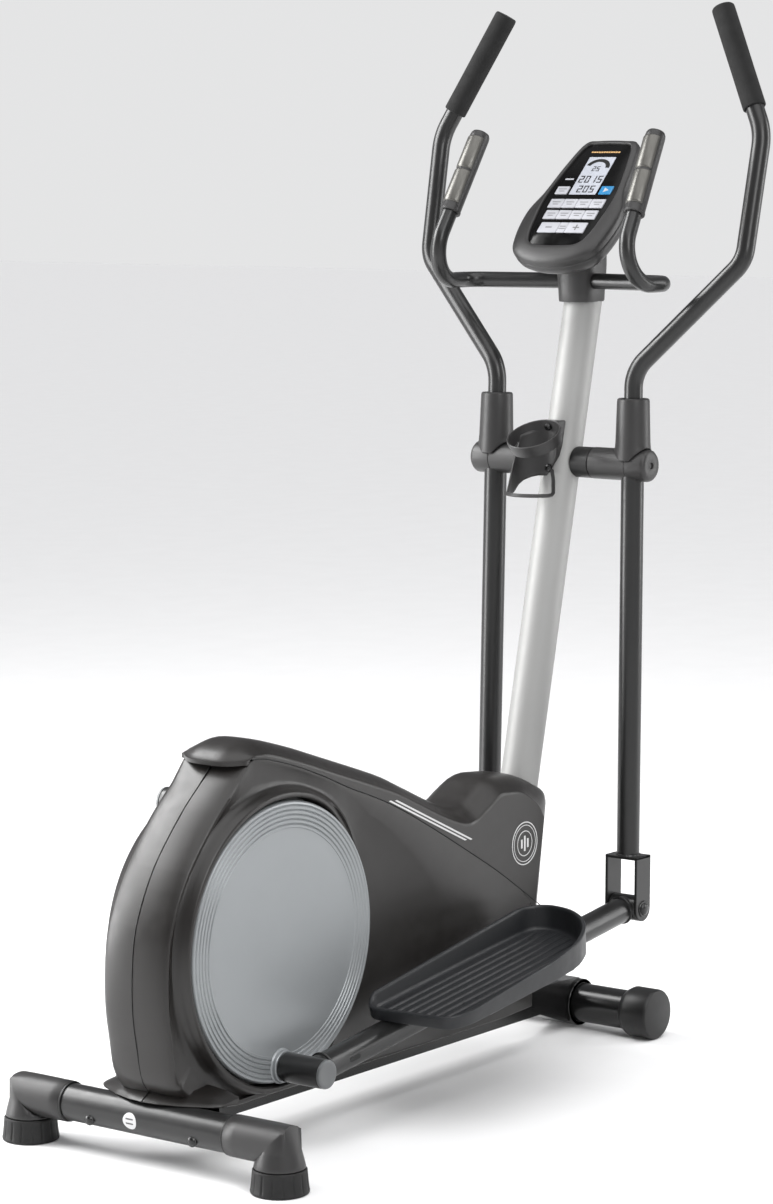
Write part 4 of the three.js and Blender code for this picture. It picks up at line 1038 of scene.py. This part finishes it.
def pulse_tube():
    half = [PULSE_TOP.lerp(PULSE_FOOT, 0.04), Vector((671.5, 181, 1196)), Vector((815, 190, 1196))]
    other = [point * Vector((1, -1, 1)) for point in half[::-1]]
    path = bent(half + [Vector((849, 0, 1196))] + other, [53, 36, 200, 36, 53], radians(4))
    return sweep(path, circle(12.5, 32))


def pulse_plate(low, high):
    """Thin curved plate on the rear of a grip, from one height to another."""
    def curve(radius, start, end, z):
        return [(radius * cos(a), radius * sin(a), z) for a in np.linspace(pi + start, pi + end, 25)]

    return loft([curve(17.6 + lift, -1.08, 1.08, z) + curve(15.4, 1.12, -1.12, z) for z, lift in (
        (low, -1.6), (low + 1.2, -0.4), (low + 3, 0), (high - 3, 0), (high - 1.2, -0.4), (high, -1.6))])


put("pulse_tube", pulse_tube(), "dark_steel", nodes=["pulse_bar"])
for side in SIDES:
    to_side = Vector((1, SIDES[side], 1))
    place = sided(side, "frame", axis_frame(PULSE_FOOT * to_side, PULSE_TOP * to_side))
    place("pulse_sleeve", revolve(PULSE_SLEEVE, "Z", n=56), "plastic", "pulse_grip")
    for name, low, high in (("lower", 14, 72), ("upper", 75, 133)):
        place(f"pulse_plate_{name}", pulse_plate(low, high), "contact", f"pulse_contact_{name}", sharp=50)


# ---- bottle holder ----
HOLDER_X, HOLDER_Z, HOLDER_TILT = 724, 953, radians(27)
HOLDER = turned_frame(HOLDER_X, HOLDER_Z, -HOLDER_TILT)
HOLDER_RING = [(38, -10), (39, -10.8), (41, -10.4), (42, -5), (44.4, 7), (44.2, 9), (43, 9.6), (41.6, 9),
               (39.6, -3)]
STRAP_RADIUS, STRAP_Z = 45, 867.4


def behind(x, z):
    """X at height z on the line through (x, 950) that leans with the mast."""
    return x + (z - 950) * tan(LEAN)


def holder_plate():
    """Block between the holder's wall and the mast, narrower towards its foot."""
    rings = []
    for z, half in ((908, 4), (914, 9), (924, 13), (940, 15), (979, 15)):
        front, back = min(behind(771, z), 763.5), behind(787, z)
        rings.append([(front, -half, z), (back, -half, z), (back, half, z), (front, half, z)])
    return loft(rings)


def holder_wall():
    """Sheet from the ring down to the strap, flaring along one side. Its edges run from first to last."""
    rings = []
    for v in np.linspace(0, 1, 14):
        first = -24 + 30 * max(0, (v - 0.55) / 0.45) ** 1.3
        last = ramp(v, [(0, 72), (0.15, 76), (0.45, 93), (0.75, 106), (1, 122)])
        row = []
        for turn in np.linspace(first, last, 40):
            a = radians(turn)
            high = 951 + 39 * cos(a) * sin(HOLDER_TILT)
            low = ramp(turn, [(-24, 893), (28, 892), (42, 890), (62, 885), (75, 878), (84, 870), (90, 866),
                              (122, 864.8)])
            r = 39.4 + 7 * v * max(0, (turn - 40) / 110)
            row.append((HOLDER_X + r * cos(a), r * sin(a), high + (low - high) * v))
        rings.append(row)
    return loft(rings, caps=False, closed=False)


def holder_strap():
    path = [(x, y, STRAP_Z) for x, y in arc(HOLDER_X, 0, STRAP_RADIUS, radians(100), radians(242), 29)]
    path += [(709.5, -41.4, 868), (716, -39.6, 870.4), (722, -35.8, 874.4), (730, -30.2, 880),
             (740, -23.4, 887), (750, -15.5, 893.5), (758, -9, 898.5), (764, -4, 902.5)]
    return sweep(path, [(-1.2, -2.8), (1.2, -2.8), (1.2, 2.8), (-1.2, 2.8)])


HOLDER_SCREW = [(0, 1.0), (2.4, 1.0), (2.8, 2.4), (5.4, 2.0), (6.2, 0.4), (6.4, -1)]
put("holder_ring", revolve(HOLDER_RING, "Z", n=72), "plastic", nodes=["bottle_holder"], matrix=HOLDER)
put("holder_plate", holder_plate(), "plastic", bevel=2.5)
put("holder_wall", holder_wall(), "plastic", sharp=60, solidify=2.6)
put("holder_strap", holder_strap(), "plastic", sharp=50)
put("holder_screw_0", facing_rear(HOLDER_SCREW, 38.1, 0, -1, 24), "black_steel", slot="steel", matrix=HOLDER)
put("holder_screw_1", facing_rear(HOLDER_SCREW, behind(771, 905), 0, 905), "black_steel", slot="steel")
